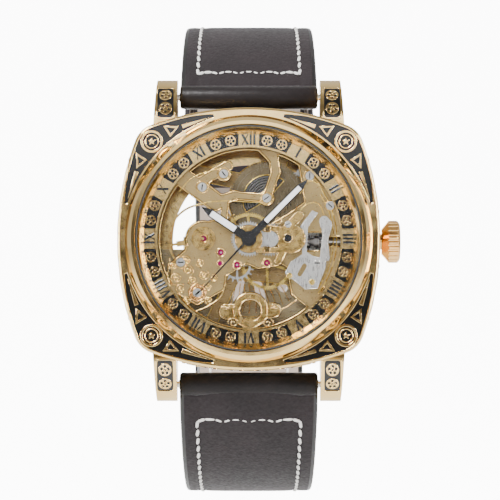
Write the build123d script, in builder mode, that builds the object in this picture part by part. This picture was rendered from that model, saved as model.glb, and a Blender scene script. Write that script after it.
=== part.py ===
"""Skeleton wristwatch, automatic winding. Millimetres, +Z to 12 o'clock, +X to 3 o'clock.
The dial faces -Y; heights grow towards the viewer from the case back glass at 0."""
from build123d import *
from math import atan2, cos, degrees, radians, sin
import os

os.makedirs("parts", exist_ok=True)

# ---- driving dimensions ----
LUG_GAP = 24.0          # standard strap width at the lugs
CASE_HALF = 21.3        # half width and half height of the cushion case
CASE_BULGE = 47.0       # radius of its four bowed sides
CORNER_R = 4.5
LUG_TIP = 27.0          # how far the lugs reach above and below the centre
BORE_R = 17.0           # movement space in the case
BEZEL_R = 20.55
CRYSTAL_R = 18.6
RING_IN, RING_OUT = 15.3, 17.8   # chapter ring
PLATE_R = 16.6
ROTOR_R = 15.7
FREE = 0.04             # radial clearance of every running fit

# heights towards the viewer
H_GLASS = 1.0
H_BACK = 1.8
H_ROTOR = 2.0
H_WIND = 2.95           # winding and reversing wheels, behind the bridges
H_BRIDGE = 3.45
H_TRAIN = 4.45
H_PLATE = 6.9
H_MOTION = 8.0
H_CHAPTER = 8.9
H_HANDS = 9.9
H_CRYSTAL = 11.5
H_BEZEL = 9.4
H_FRONT = 12.6

# centres of the movement, (x, z)
CENTRE = (0.0, 0.0)
BARREL = (3.2, 6.7)
THIRD = (3.05, -3.98)
ESCAPE = (-1.97, -4.32)
PALLET = (-4.68, -2.25)
BALANCE = (-7.58, 0.07)
MINUTE = (3.58, -0.07)
STEM_Z, STEM_H, STEM_R = -0.4, 6.7, 0.6
HOUR_ANGLE, MINUTE_ANGLE, SECOND_ANGLE = 303.75, 45.0, 222.5

# teeth
CENTRE_TEETH, THIRD_LEAVES = 80, 10
THIRD_TEETH, SECOND_LEAVES = 75, 10
SECOND_TEETH, ESCAPE_LEAVES, ESCAPE_TEETH = 80, 8, 20
BARREL_TEETH, CENTRE_LEAVES = 84, 14
MINUTE_TEETH, CANNON_TEETH = 36, 12
HOUR_TEETH, MINUTE_LEAVES = 40, 10


def facing(height):
    """A sketch plane at a height, seen from the dial side."""
    return Plane.XZ.offset(height)


def between(a, b):
    """Distance between two centres."""
    return ((a[0] - b[0]) ** 2 + (a[1] - b[1]) ** 2) ** 0.5


def clock(angle, radius):
    """Point at a clock angle (degrees clockwise from 12)."""
    return (radius * sin(radians(angle)), radius * cos(radians(angle)))


def save(part, name):
    part.label = name
    export_step(part, f"parts/{name}.step")


def meshing(a, teeth_a, start_a, b, teeth_b):
    """Start angle that puts gear b's teeth into gear a's gaps."""
    line = degrees(atan2(b[1] - a[1], b[0] - a[0]))
    part_pitch = ((line - start_a) * teeth_a / 360) % 1
    return line + 180 - (0.5 - part_pitch) * 360 / teeth_b


def pitch_radii(a, b, teeth_a, teeth_b):
    """Pitch radii of two meshing gears from their centres."""
    reach = between(a, b)
    return reach * teeth_a / (teeth_a + teeth_b), reach * teeth_b / (teeth_a + teeth_b)


def gear_outline(teeth, tip, root, start=90.0, top=0.22, foot=0.62):
    """Trapezoid teeth; a tooth points at the start angle."""
    pitch = 360.0 / teeth
    points = []
    for tooth in range(teeth):
        middle = start + tooth * pitch
        for radius, turn in ((root, -foot / 2), (tip, -top / 2), (tip, top / 2), (root, foot / 2)):
            angle = radians(middle + turn * pitch)
            points.append((radius * cos(angle), radius * sin(angle)))
    return points


def toothed(teeth, tip, root, at=CENTRE, start=90.0, top=0.22, foot=0.62, mode=Mode.ADD):
    """A gear's face inside a sketch."""
    with Locations(at):
        with BuildLine(mode=Mode.PRIVATE) as outline:
            Polyline(gear_outline(teeth, tip, root, start, top, foot), close=True)
        add(make_face(outline.edges(), mode=Mode.PRIVATE), mode=mode)


def spokes(at, inner, outer, count, width, start=0.0):
    """Windows between the spokes of a wheel, cut from a sketch."""
    with BuildSketch(mode=Mode.PRIVATE) as windows:
        Circle(outer)
        Circle(inner, mode=Mode.SUBTRACT)
        with PolarLocations(0, count, start_angle=start):
            Rectangle(outer + 1, width, align=(Align.MIN, Align.CENTER), mode=Mode.SUBTRACT)
    with Locations(at):
        add(windows.sketch, mode=Mode.SUBTRACT)


def disc(at, radius, low, high, mode=Mode.ADD):
    with BuildSketch(facing(low)) as face:
        with Locations(at):
            Circle(radius)
    extrude(face.sketch, amount=high - low, mode=mode)


def cushion(half, corner=CORNER_R):
    """The case outline: four bowed sides with rounded corners."""
    top = half + 0.6
    inner = CASE_BULGE - top
    side = ((2 * CASE_BULGE**2 - inner**2) ** 0.5 - inner) / 2
    with BuildLine(mode=Mode.PRIVATE) as outline:
        ThreePointArc((-side, side), (0, top), (side, side))
        ThreePointArc((side, side), (top, 0), (side, -side))
        ThreePointArc((side, -side), (0, -top), (-side, -side))
        ThreePointArc((-side, -side), (-top, 0), (-side, side))
    face = make_face(outline.edges(), mode=Mode.PRIVATE).faces()[0]
    return face.fillet_2d(corner, face.vertices())


# ---- case ----
CASE_BACK_H, CASE_FRONT_H = 1.2, 10.4
BAR_Z, BAR_H = 24.3, 3.0

with BuildPart() as case_body:
    with BuildSketch(Plane.YZ) as lug_side:
        with BuildLine():
            shoulder = Line((-1.5, 15), (-9.4, 15))
            crest = Line(shoulder @ 1, (-9.4, 19.6))
            slope = ThreePointArc(crest @ 1, (-7.9, 24.4), (-4.2, LUG_TIP))
            tip = ThreePointArc(slope @ 1, (-2.2, LUG_TIP - 0.2), (-1.2, LUG_TIP - 1.8))
            ThreePointArc(tip @ 1, (-1.0, 21.5), shoulder @ 0)
        make_face()
        mirror(about=Plane.XZ)
    extrude(amount=20, both=True)
    with BuildSketch(facing(-1)):
        with BuildLine():
            Polyline((LUG_GAP / 2, 14), (16.3, 14), (15.4, 28), (LUG_GAP / 2, 28), close=True)
        make_face()
        mirror(about=Plane.XZ)
        mirror(about=Plane.YZ)
    extrude(amount=12, mode=Mode.INTERSECT)
    with BuildSketch(facing(CASE_BACK_H + 0.8)):
        add(cushion(CASE_HALF))
    extrude(amount=CASE_FRONT_H - CASE_BACK_H - 0.8)
    fillet(case_body.faces().filter_by(Axis.Y).sort_by(Axis.Y)[0].outer_wire().edges(), 0.5)
    with BuildSketch(facing(CASE_BACK_H)):
        add(cushion(CASE_HALF - 1.6))
    extrude(amount=1.0)
    disc(CENTRE, BORE_R, 0, 9.0, mode=Mode.SUBTRACT)
    disc(CENTRE, 18.55, 0, H_BACK + 0.05, mode=Mode.SUBTRACT)
    disc(CENTRE, RING_OUT + 0.05, 8.6, 12, mode=Mode.SUBTRACT)
    disc(CENTRE, BEZEL_R + 0.05, H_BEZEL, 12, mode=Mode.SUBTRACT)
    with BuildSketch(Plane.YZ.offset(BORE_R + 0.6)):
        with Locations((-STEM_H, STEM_Z)):
            Circle(1.3)
    extrude(amount=5.2)
    with BuildSketch(Plane.YZ.offset(16)):
        with Locations((-STEM_H, STEM_Z)):
            Circle(STEM_R + FREE)
    extrude(amount=8, mode=Mode.SUBTRACT)
    with BuildSketch(Plane.YZ):
        with Locations((-BAR_H, BAR_Z), (-BAR_H, -BAR_Z)):
            Circle(0.55)
    extrude(amount=LUG_GAP / 2 + 1.0, both=True, mode=Mode.SUBTRACT)
save(case_body.part, "case_body")

with BuildPart() as bezel:
    with BuildSketch(Plane.XY) as bezel_profile:
        with BuildLine():
            Polyline((18.75, -H_BEZEL), (BEZEL_R, -H_BEZEL), (BEZEL_R, -10.9), (20.1, -11.7))
            Line((20.1, -11.7), (19.5, -H_FRONT))
            Polyline((19.5, -H_FRONT), (18.95, -12.5), (18.75, -12.2), (18.75, -H_BEZEL))
        make_face()
    revolve(axis=Axis.Y)
save(bezel.part, "bezel")

with BuildPart() as front_crystal:
    disc(CENTRE, CRYSTAL_R - 0.05, H_CRYSTAL - 0.1, 12.3)
save(front_crystal.part, "front_crystal")

with BuildPart() as crystal_gasket:
    with BuildSketch(facing(H_CRYSTAL - 0.1)):
        Circle(18.73)
        Circle(CRYSTAL_R - 0.03, mode=Mode.SUBTRACT)
    extrude(amount=0.9)
save(crystal_gasket.part, "crystal_gasket")

with BuildPart() as flange_ring:
    with BuildSketch(Plane.XY):
        with BuildLine():
            Polyline(
                (17.55, -9.38), (18.7, -9.45), (18.7, -11.35), (18.45, -11.35), (17.55, -9.8), close=True
            )
        make_face()
    revolve(axis=Axis.Y)
save(flange_ring.part, "flange_ring")

with BuildPart() as case_back_ring:
    with BuildSketch(Plane.XY):
        with BuildLine():
            Polyline(
                (13.55, -0.1), (17.6, -0.1), (18.5, -0.9), (18.5, -H_BACK), (12.9, -H_BACK),
                (12.9, -H_GLASS - 0.05), (13.55, -H_GLASS - 0.05), close=True,
            )
        make_face()
    revolve(axis=Axis.Y)
    with BuildSketch(facing(0)):
        with PolarLocations(17.3, 6):
            Rectangle(1.6, 2.4)
    extrude(amount=0.8, mode=Mode.SUBTRACT)
save(case_back_ring.part, "case_back_ring")

with BuildPart() as case_back_glass:
    disc(CENTRE, 13.5, 0, H_GLASS)
save(case_back_glass.part, "case_back_glass")

with BuildPart() as spring_bars:
    for z in (BAR_Z, -BAR_Z):
        with BuildSketch(Plane.YZ):
            with Locations((-BAR_H, z)):
                Circle(0.5)
        extrude(amount=LUG_GAP / 2 + 0.9, both=True)
        with BuildSketch(Plane.YZ):
            with Locations((-BAR_H, z)):
                Circle(0.75)
        extrude(amount=LUG_GAP / 2 - 0.2, both=True)
save(spring_bars.part, "spring_bars")

# ---- strap, closed round a wrist: two ellipses seen along X, in (y, z) ----
SHORT_MID, SHORT_AXES = (22.5, -2.0), (30.0, 40.0)    # 12 o'clock half, inside
LONG_MID, LONG_AXES = (24.2, -0.4), (32.4, 41.9)      # 6 o'clock half, outside
BUCKLE_TURN = 6.0       # angle round the short half where the buckle's bar is
FRONT_SWELL = 0.55      # extra thickness at the lugs


def on_loop(mid, axes, turn):
    return (mid[0] + axes[0] * cos(radians(turn)), mid[1] + axes[1] * sin(radians(turn)))


def strap_band(mid, axes, start, end, thick):
    """A band of an ellipse's ring from one angle to another, thicker at the front."""
    half = thick / 2
    with BuildLine(mode=Mode.PRIVATE) as band:
        outer = EllipticalCenterArc(
            (mid[0] - FRONT_SWELL, mid[1]), axes[0] + half + FRONT_SWELL / 2, axes[1] + half,
            start_angle=start, arc_size=end - start,
        )
        inner = EllipticalCenterArc(
            (mid[0] + FRONT_SWELL, mid[1]), axes[0] - half - FRONT_SWELL / 2, axes[1] - half,
            start_angle=start, arc_size=end - start,
        )
        Line(outer @ 0, inner @ 0)
        Line(outer @ 1, inner @ 1)
    add(make_face(band.edges(), mode=Mode.PRIVATE))


def taper_width():
    """Trim a strap to its width: full at the lugs, narrower at the buckle."""
    with BuildSketch(Plane.XY) as width:
        with BuildLine():
            Polyline((-11.7, -10), (11.7, -10), (11.7, 0), (10, 62), (-10, 62), (-11.7, 0), close=True)
        make_face()
    extrude(width.sketch, amount=50, both=True, mode=Mode.INTERSECT)


with BuildPart() as strap_upper:
    with BuildSketch(Plane.YZ):
        strap_band(SHORT_MID, SHORT_AXES, BUCKLE_TURN + 1.2, 139.5, 2.8)
        with Locations((-BAR_H, BAR_Z)):
            Circle(2.0)
            Circle(0.8, mode=Mode.SUBTRACT)
        with Locations(on_loop(SHORT_MID, SHORT_AXES, BUCKLE_TURN)):
            Circle(1.9)
            Circle(0.8, mode=Mode.SUBTRACT)
    extrude(amount=12, both=True)
    taper_width()
    with BuildSketch(Plane.YZ):
        with Locations(on_loop(SHORT_MID, SHORT_AXES, BUCKLE_TURN)):
            Circle(2.1)
    extrude(amount=1.6, both=True, mode=Mode.SUBTRACT)
save(strap_upper.part, "strap_upper")

with BuildPart() as strap_lower:
    with BuildSketch(Plane.YZ):
        strap_band(LONG_MID, LONG_AXES, 214, 412, 2.8)
        with Locations((-BAR_H, -BAR_Z)):
            Circle(2.0)
            Circle(0.8, mode=Mode.SUBTRACT)
    extrude(amount=12, both=True)
    taper_width()
    with BuildSketch(Plane.XZ.offset(-70)):
        with Locations((0, -1.5)):
            SlotCenterToCenter(7.5, 3.2, rotation=90)
    extrude(amount=25, mode=Mode.SUBTRACT)
save(strap_lower.part, "strap_lower")

BUCKLE_Y, BUCKLE_Z = on_loop(SHORT_MID, SHORT_AXES, BUCKLE_TURN)
RIM_Y, RIM_Z, RIM_R = 59.2, -8.2, 1.2
ARM_IN, ARM_OUT = 10.9, 12.6

with BuildPart() as buckle_frame:
    for side in (1, -1):
        with BuildSketch(Plane.YZ.offset(side * ARM_IN)):
            reach = between((BUCKLE_Y, BUCKLE_Z), (RIM_Y, RIM_Z))
            tilt = degrees(atan2(RIM_Z - BUCKLE_Z, RIM_Y - BUCKLE_Y))
            with Locations(((BUCKLE_Y + RIM_Y) / 2, (BUCKLE_Z + RIM_Z) / 2)):
                SlotCenterToCenter(reach, 2 * RIM_R, rotation=tilt)
            with Locations((BUCKLE_Y, BUCKLE_Z)):
                Circle(0.77, mode=Mode.SUBTRACT)
        extrude(amount=side * (ARM_OUT - ARM_IN))
    with BuildSketch(Plane.YZ):
        with Locations((RIM_Y, RIM_Z)):
            Circle(RIM_R)
    extrude(amount=ARM_OUT, both=True)
save(buckle_frame.part, "buckle_frame")

with BuildPart() as buckle_bar:
    with BuildSketch(Plane.YZ):
        with Locations((BUCKLE_Y, BUCKLE_Z)):
            Circle(0.75)
    extrude(amount=ARM_OUT - 0.3, both=True)
save(buckle_bar.part, "buckle_bar")

with BuildPart() as buckle_tongue:
    with BuildSketch(Plane.YZ):
        with Locations((BUCKLE_Y, BUCKLE_Z)):
            Circle(1.5)
        with BuildLine():
            Polyline(
                (BUCKLE_Y - 0.3, BUCKLE_Z - 1.4), (RIM_Y + 1.3, -3.4), (RIM_Y + RIM_R + 0.06, -6.4),
                (RIM_Y + RIM_R + 0.06, -10.2), (RIM_Y + 2.3, -10.4), (RIM_Y + 2.8, -6.4),
                (RIM_Y + 2.4, -2.8), (BUCKLE_Y + 0.9, BUCKLE_Z + 1.2), close=True,
            )
        make_face()
        with Locations((BUCKLE_Y, BUCKLE_Z)):
            Circle(0.8, mode=Mode.SUBTRACT)
    extrude(amount=1.1, both=True)
save(buckle_tongue.part, "buckle_tongue")

KEEPER_TURNS = (26, 42)
for number, turn in enumerate(KEEPER_TURNS):
    spot = on_loop(SHORT_MID, SHORT_AXES, turn)
    lean = degrees(atan2(sin(radians(turn)) / SHORT_AXES[1], cos(radians(turn)) / SHORT_AXES[0]))
    across = Plane(
        origin=(0, *spot), x_dir=(1, 0, 0), z_dir=(0, -sin(radians(lean)), cos(radians(lean)))
    )
    with BuildPart() as keeper:
        with BuildSketch(across):
            with Locations((0, 2.1)):
                RectangleRounded(24.4, 10.4, 1.6)
                RectangleRounded(22.2, 8.2, 0.9, mode=Mode.SUBTRACT)
        extrude(amount=2.5, both=True)
    save(keeper.part, ("keeper_fixed", "keeper_loose")[number])

# ---- dial ring and hands ----
with BuildPart() as chapter_ring:
    with BuildSketch(facing(H_CHAPTER)):
        Circle(RING_OUT - 0.05)
        Circle(RING_IN, mode=Mode.SUBTRACT)
    extrude(amount=0.35)
    with BuildSketch(facing(H_CHAPTER + 0.35)):
        Circle(RING_IN + 0.2)
        Circle(RING_IN, mode=Mode.SUBTRACT)
        with PolarLocations((RING_IN + RING_OUT) / 2, 12):
            Rectangle(2.35, 3.3)
    extrude(amount=0.1)
save(chapter_ring.part, "chapter_ring")

with BuildPart() as chapter_lacquer:
    with BuildSketch(facing(H_CHAPTER + 0.36)):
        Circle(RING_OUT - 0.1)
        Circle(RING_IN + 0.24, mode=Mode.SUBTRACT)
        with PolarLocations((RING_IN + RING_OUT) / 2, 12):
            Rectangle(3.4, 3.4, mode=Mode.SUBTRACT)
    extrude(amount=0.06)
save(chapter_lacquer.part, "chapter_lacquer")


def pencil_hand(angle, length, width, hub, bore, low, lume_from, name):
    """A pointed straight hand with a lume slot, and its inlay as a second piece."""
    half = width / 2
    turned = Plane(origin=(0, -low, 0), x_dir=Vector(cos(radians(angle)), 0, -sin(radians(angle))),
                   z_dir=(0, -1, 0))
    with BuildPart() as hand:
        with BuildSketch(turned):
            Circle(hub)
            with BuildLine():
                Polyline((-half, 0), (-half, length - 2), (0, length), (half, length - 2), (half, 0),
                         close=True)
            make_face()
            Circle(bore, mode=Mode.SUBTRACT)
            with Locations((0, (lume_from + length - 2) / 2)):
                Rectangle(width - 0.34, length - 2 - lume_from, mode=Mode.SUBTRACT)
        extrude(amount=0.22)
    save(hand.part, name)
    with BuildPart() as lume:
        with BuildSketch(turned.offset(0.03)):
            with Locations((0, (lume_from + length - 2) / 2)):
                Rectangle(width - 0.38, length - 2.04 - lume_from)
        extrude(amount=0.16)
    save(lume.part, name + "_lume")


pencil_hand(HOUR_ANGLE, 9.6, 1.4, 1.25, 0.88, H_HANDS, 2.7, "hour_hand")
pencil_hand(MINUTE_ANGLE, 14.05, 1.2, 1.2, 0.53, H_HANDS + 0.4, 3.95, "minute_hand")

with BuildPart() as second_hand:
    with BuildSketch(Plane(origin=(0, -H_HANDS - 0.8, 0), z_dir=(0, -1, 0),
                           x_dir=Vector(cos(radians(SECOND_ANGLE)), 0, -sin(radians(SECOND_ANGLE))))):
        Circle(0.75)
        with BuildLine():
            Polyline((-0.2, -1.2), (-0.06, 13.7), (0.06, 13.7), (0.2, -1.2), close=True)
        make_face()
    extrude(amount=0.16)
save(second_hand.part, "second_hand")

# ---- movement frame ----


def beam(a, b, width):
    """A round-ended bar between two points of a sketch."""
    with Locations(((a[0] + b[0]) / 2, (a[1] + b[1]) / 2)):
        SlotCenterToCenter(between(a, b), width, rotation=degrees(atan2(b[1] - a[1], b[0] - a[0])))


def region(points):
    """A filled polygon inside a sketch."""
    with BuildLine(mode=Mode.PRIVATE) as outline:
        Polyline(points, close=True)
    add(make_face(outline.edges(), mode=Mode.PRIVATE))


PILLARS = tuple(clock(turn, 15.7) for turn in (20, 75, 118, 205, 240, 318))
ARM_BOSS = (3.0, 6.85)
BRIDGE_R = 16.5
REVERSERS = ((-3.4, 2.6), (2.6, -3.4))
PIVOTS = (THIRD, ESCAPE, PALLET)

with BuildPart() as main_plate:
    with BuildSketch(facing(H_PLATE)):
        Circle(PLATE_R)
        Circle(15.0, mode=Mode.SUBTRACT)
        beam((3.9, 15.4), (4.5, 11.2), 1.5)
        beam((4.5, 11.2), ARM_BOSS, 1.3)
        beam((1.6, 15.6), (3.9, 13.2), 0.9)
        beam(ARM_BOSS, (-2.2, 7.3), 1.2)
        beam((-2.2, 7.3), (-5.6, 6.3), 1.5)
        beam((-5.6, 6.3), (-11.4, 10.6), 3.0)
        beam((-9.0, 9.0), (-3.6, 12.2), 1.6)
        beam((-3.9, 6.4), (-4.3, 2.4), 1.0)
        with Locations(ARM_BOSS, (-7.8, 8.7), (-4.2, 10.93)):
            Circle(1.15)
        with Locations(BALANCE):
            Circle(2.9)
        with Locations(CENTRE):
            Circle(2.1)
        region([(-9.2, 2.2), (-5.0, 3.4), (-2.6, 1.6), (0, 1.8), (5.2, -2.2), (5.0, -4.4), (1.6, -4.9),
                (-0.4, -4.0), (-3.9, -6.2), (-4.1, -8.4), (-8.6, -11.0), (-12.8, -8.6), (-12.9, -4.0),
                (-10.6, -1.9)])
        region([(8.4, 12.9), (9.4, 6.2), (7.0, 4.4), (1.6, 1.2), (3.2, -2.8), (6.4, -4.6), (7.2, -9.2),
                (10.2, -11.6), (15.4, -4), (15.4, 5)])
        Circle(PLATE_R, mode=Mode.INTERSECT)
        Circle(1.0, mode=Mode.SUBTRACT)
        with Locations(*PIVOTS, BALANCE):
            Circle(0.62, mode=Mode.SUBTRACT)
        with Locations(((8.4 + 17) / 2, STEM_Z)):
            Rectangle(17 - 8.4, 1.7, mode=Mode.SUBTRACT)
        with Locations(((9.4 + 13.5) / 2, STEM_Z)):
            Rectangle(13.5 - 9.4, 3.2, mode=Mode.SUBTRACT)
    extrude(amount=H_MOTION - H_PLATE)
    with BuildSketch(facing(H_TRAIN)):
        with Locations(*PILLARS):
            Circle(0.75)
    extrude(amount=H_PLATE - H_TRAIN)
save(main_plate.part, "main_plate")

with BuildPart() as barrel_bridge:
    with BuildSketch(facing(H_BRIDGE)):
        with Locations(BARREL):
            Circle(6.6)
        beam(BARREL, PILLARS[0], 3.0)
        beam((9.0, STEM_Z + 2.4), PILLARS[1], 3.4)
        with Locations((9.0, STEM_Z + 1.6)):
            Circle(3.4)
        beam((-1.5, 10.0), PILLARS[5], 2.6)
        Circle(BRIDGE_R, mode=Mode.INTERSECT)
        Circle(5.0, mode=Mode.SUBTRACT)
        with Locations(BARREL):
            Circle(0.65, mode=Mode.SUBTRACT)
        with Locations((9.0, STEM_Z)):
            Circle(0.5, mode=Mode.SUBTRACT)
    extrude(amount=H_TRAIN - H_BRIDGE - 0.02)
save(barrel_bridge.part, "barrel_bridge")

with BuildPart() as train_bridge:
    with BuildSketch(facing(H_BRIDGE)):
        Circle(4.9)
        region([(-2.6, -2.0), (3.0, -1.6), (6.5, -3.4), (12.2, -5.6),
                (12.4, -8.6), (5.5, -7.4), (-3.6, -6.4)])
        beam((4, -5.6), PILLARS[2], 3.0)
        beam((-2.2, -5.6), (-6.5, -14.2), 2.0)
        with Locations(PILLARS[3]):
            Circle(1.4)
        Circle(BRIDGE_R, mode=Mode.INTERSECT)
        Circle(0.85, mode=Mode.SUBTRACT)
        with Locations(THIRD, ESCAPE):
            Circle(0.62, mode=Mode.SUBTRACT)
    extrude(amount=H_TRAIN - H_BRIDGE - 0.02)
    for spot in REVERSERS:
        disc(spot, 0.22, H_WIND, H_BRIDGE)
save(train_bridge.part, "train_bridge")

with BuildPart() as balance_cock:
    with BuildSketch(facing(H_BRIDGE)):
        with Locations(BALANCE):
            Circle(2.2)
        beam(BALANCE, PILLARS[4], 2.6)
        with Locations(PILLARS[4]):
            Circle(1.6)
        Circle(BRIDGE_R, mode=Mode.INTERSECT)
        with Locations(BALANCE):
            Circle(0.62, mode=Mode.SUBTRACT)
    extrude(amount=H_TRAIN - H_BRIDGE - 0.02)
save(balance_cock.part, "balance_cock")

with BuildPart() as movement_ring:
    with BuildSketch(facing(4.4)):
        Circle(BORE_R - 0.04)
        Circle(PLATE_R + 0.02, mode=Mode.SUBTRACT)
        with Locations((BORE_R, STEM_Z)):
            Rectangle(3, 2.6, mode=Mode.SUBTRACT)
    extrude(amount=4.3)
save(movement_ring.part, "movement_ring")

with BuildPart() as motion_bridge:
    with BuildSketch(facing(8.82)):
        Circle(2.25)
        beam((1.6, 1.9), (6.4, 1.4), 0.9)
        beam((1.6, -1.9), (6.4, -1.9), 0.9)
        with Locations((7.0, 0.0)):
            Circle(2.4)
        beam((6.2, 1.6), (8.4, 3.9), 1.4)
        beam((5.9, -1.7), (4.9, -3.7), 1.1)
        Circle(1.02, mode=Mode.SUBTRACT)
        with Locations((MINUTE[0], MINUTE[1])):
            Circle(1.45, mode=Mode.SUBTRACT)
    extrude(amount=0.2)
    with BuildSketch(facing(H_MOTION + 0.02)):
        with Locations((8.4, 3.9), (4.9, -3.7)):
            Circle(0.55)
    extrude(amount=0.82)
save(motion_bridge.part, "motion_bridge")

RING_BOSS = (0.27, -11.93)
with BuildPart() as ring_bridge:
    with BuildSketch(facing(H_PLATE + 0.5)):
        with Locations(RING_BOSS):
            Circle(2.95)
        beam((-3.7, -12.2), (4.1, -11.9), 2.4)
        with Locations(RING_BOSS):
            Circle(1.8, mode=Mode.SUBTRACT)
    extrude(amount=0.9)
    with BuildSketch(facing(H_MOTION + 0.02)):
        beam((0.27, -14.2), (0.27, -15.0), 2.6)
    extrude(amount=0.38)
save(ring_bridge.part, "ring_bridge")

SCREWS = (ARM_BOSS, (-7.8, 8.7), (-4.2, 10.93), (-11.4, -3.9), (-8.6, -9.0), (10.2, 10.6), (13.6, 5.6))
with BuildPart() as movement_screws:
    for spot in SCREWS:
        disc(spot, 0.72, H_MOTION + 0.01, H_MOTION + 0.3)
    with BuildSketch(facing(H_MOTION + 0.15)):
        with Locations(*SCREWS):
            Rectangle(1.6, 0.2, rotation=35)
    extrude(amount=0.3, mode=Mode.SUBTRACT)
save(movement_screws.part, "movement_screws")

with BuildPart() as jewels:
    for spot in (*PIVOTS, BALANCE):
        for low, high in ((H_PLATE + 0.3, H_MOTION), (H_BRIDGE, H_TRAIN - 0.3)):
            if spot in (PALLET,) and low < H_PLATE:
                continue
            disc(spot, 0.6, low, high)
            disc(spot, 0.19, low, high, mode=Mode.SUBTRACT)
save(jewels.part, "jewels")

with BuildPart() as shock_setting:
    with BuildSketch(facing(H_MOTION + 0.02)):
        with Locations(BALANCE):
            Circle(2.0)
            Circle(0.75, mode=Mode.SUBTRACT)
    extrude(amount=0.45)
    with BuildSketch(facing(H_MOTION + 0.3)):
        with Locations(BALANCE):
            Circle(1.5)
            Circle(0.75, mode=Mode.SUBTRACT)
    extrude(amount=0.3, mode=Mode.SUBTRACT)
    with BuildSketch(facing(H_MOTION + 0.16)):
        with Locations((BALANCE[0] - 0.75, BALANCE[1])):
            Rectangle(1.6, 0.5)
    extrude(amount=0.14)
save(shock_setting.part, "shock_setting")

# ---- going train: every wheel turns with the minute hand ----


def wheel(at, teeth, pitch_r, low, high, start, arms=5, hub=0.9):
    """A spoked wheel."""
    part_h = pitch_r / teeth * 2
    with BuildSketch(facing(low)) as face:
        toothed(teeth, pitch_r + 0.85 * part_h, pitch_r - 1.25 * part_h, at, start)
        spokes(at, hub, pitch_r - 1.25 * part_h - 0.45, arms, 0.42, start)
    extrude(face.sketch, amount=high - low)


def pinion(at, leaves, pitch_r, low, high, start):
    """Narrow leaves on an arbor."""
    part_h = pitch_r / leaves * 2
    with BuildSketch(facing(low)) as face:
        toothed(leaves, pitch_r + 0.7 * part_h, pitch_r - 1.2 * part_h, at, start, 0.16, 0.4)
    extrude(face.sketch, amount=high - low)


def line_angle(a, b):
    return degrees(atan2(b[1] - a[1], b[0] - a[0]))


BARREL_PITCH, CENTRE_PINION_R = pitch_radii(BARREL, CENTRE, BARREL_TEETH, CENTRE_LEAVES)
CENTRE_PITCH, THIRD_PINION_R = pitch_radii(CENTRE, THIRD, CENTRE_TEETH, THIRD_LEAVES)
THIRD_PITCH, SECOND_PINION_R = pitch_radii(THIRD, CENTRE, THIRD_TEETH, SECOND_LEAVES)
SECOND_PITCH, ESCAPE_PINION_R = pitch_radii(CENTRE, ESCAPE, SECOND_TEETH, ESCAPE_LEAVES)
CANNON_PITCH, MINUTE_PITCH = pitch_radii(CENTRE, MINUTE, CANNON_TEETH, MINUTE_TEETH)
MINUTE_PINION_R, HOUR_PITCH = pitch_radii(MINUTE, CENTRE, MINUTE_LEAVES, HOUR_TEETH)
ESCAPE_R = 2.9

with BuildPart() as barrel_drum:
    start = line_angle(BARREL, CENTRE)
    tooth_h = BARREL_PITCH / BARREL_TEETH * 2
    with BuildSketch(facing(5.95)):
        toothed(BARREL_TEETH, BARREL_PITCH + 0.8 * tooth_h, BARREL_PITCH - 1.2 * tooth_h, BARREL, start)
    extrude(amount=0.35)
    disc(BARREL, 5.85, 5.3, 5.95)
    disc(BARREL, 5.45, 5.45, 6.4, mode=Mode.SUBTRACT)
    disc(BARREL, 0.65, 5.2, 6.4, mode=Mode.SUBTRACT)
save(barrel_drum.part, "barrel_drum")

with BuildPart() as barrel_cover:
    with BuildSketch(facing(6.02)):
        with Locations(BARREL):
            Circle(5.43)
            Circle(0.65, mode=Mode.SUBTRACT)
            with PolarLocations(3.1, 1, start_angle=112):
                SlotArc(CenterArc((-3.1, 0), 3.1, -62, 124, mode=Mode.PRIVATE), 2.1, mode=Mode.SUBTRACT)
    extrude(amount=0.28)
save(barrel_cover.part, "barrel_cover")

with BuildPart() as mainspring:
    with BuildSketch(facing(5.5)):
        with Locations(BARREL):
            for turn in range(7):
                Circle(5.2 - 0.42 * turn)
                Circle(5.02 - 0.42 * turn, mode=Mode.SUBTRACT)
            Rectangle(4.6, 0.1, align=(Align.MIN, Align.CENTER))
            Circle(1.6, mode=Mode.SUBTRACT)
    extrude(amount=0.48)
save(mainspring.part, "mainspring")

RATCHET_TEETH, CROWN_WHEEL_TEETH = 43, 28
CROWN_WHEEL = (9.0, STEM_Z)
RATCHET_PITCH, CROWN_PITCH = pitch_radii(BARREL, CROWN_WHEEL, RATCHET_TEETH, CROWN_WHEEL_TEETH)

with BuildPart() as ratchet_wheel:
    start = line_angle(BARREL, CROWN_WHEEL)
    with BuildSketch(facing(4.55)):
        toothed(RATCHET_TEETH, RATCHET_PITCH + 0.18, RATCHET_PITCH - 0.32, BARREL, start)
    extrude(amount=0.25)
    disc(BARREL, 0.6, 3.2, 6.9)
    disc(BARREL, 1.3, 5.5, 5.95)
save(ratchet_wheel.part, "ratchet_wheel")

with BuildPart() as crown_wheel:
    start = meshing(BARREL, RATCHET_TEETH, line_angle(BARREL, CROWN_WHEEL), CROWN_WHEEL, CROWN_WHEEL_TEETH)
    with BuildSketch(facing(4.55)):
        toothed(CROWN_WHEEL_TEETH, CROWN_PITCH + 0.18, CROWN_PITCH - 0.32, CROWN_WHEEL, start)
    extrude(amount=0.25)
    disc(CROWN_WHEEL, CROWN_PITCH - 0.35, 4.8, 5.1)
    with BuildSketch(facing(5.1)):
        with Locations(CROWN_WHEEL):
            with PolarLocations(CROWN_PITCH - 0.75, CROWN_WHEEL_TEETH):
                Rectangle(0.7, 0.3)
    extrude(amount=0.14)
    disc(CROWN_WHEEL, CROWN_PITCH - 1.2, 4.85, 5.3, mode=Mode.SUBTRACT)
    disc(CROWN_WHEEL, 0.46, 3.4, 4.9)
save(crown_wheel.part, "crown_wheel")

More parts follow.
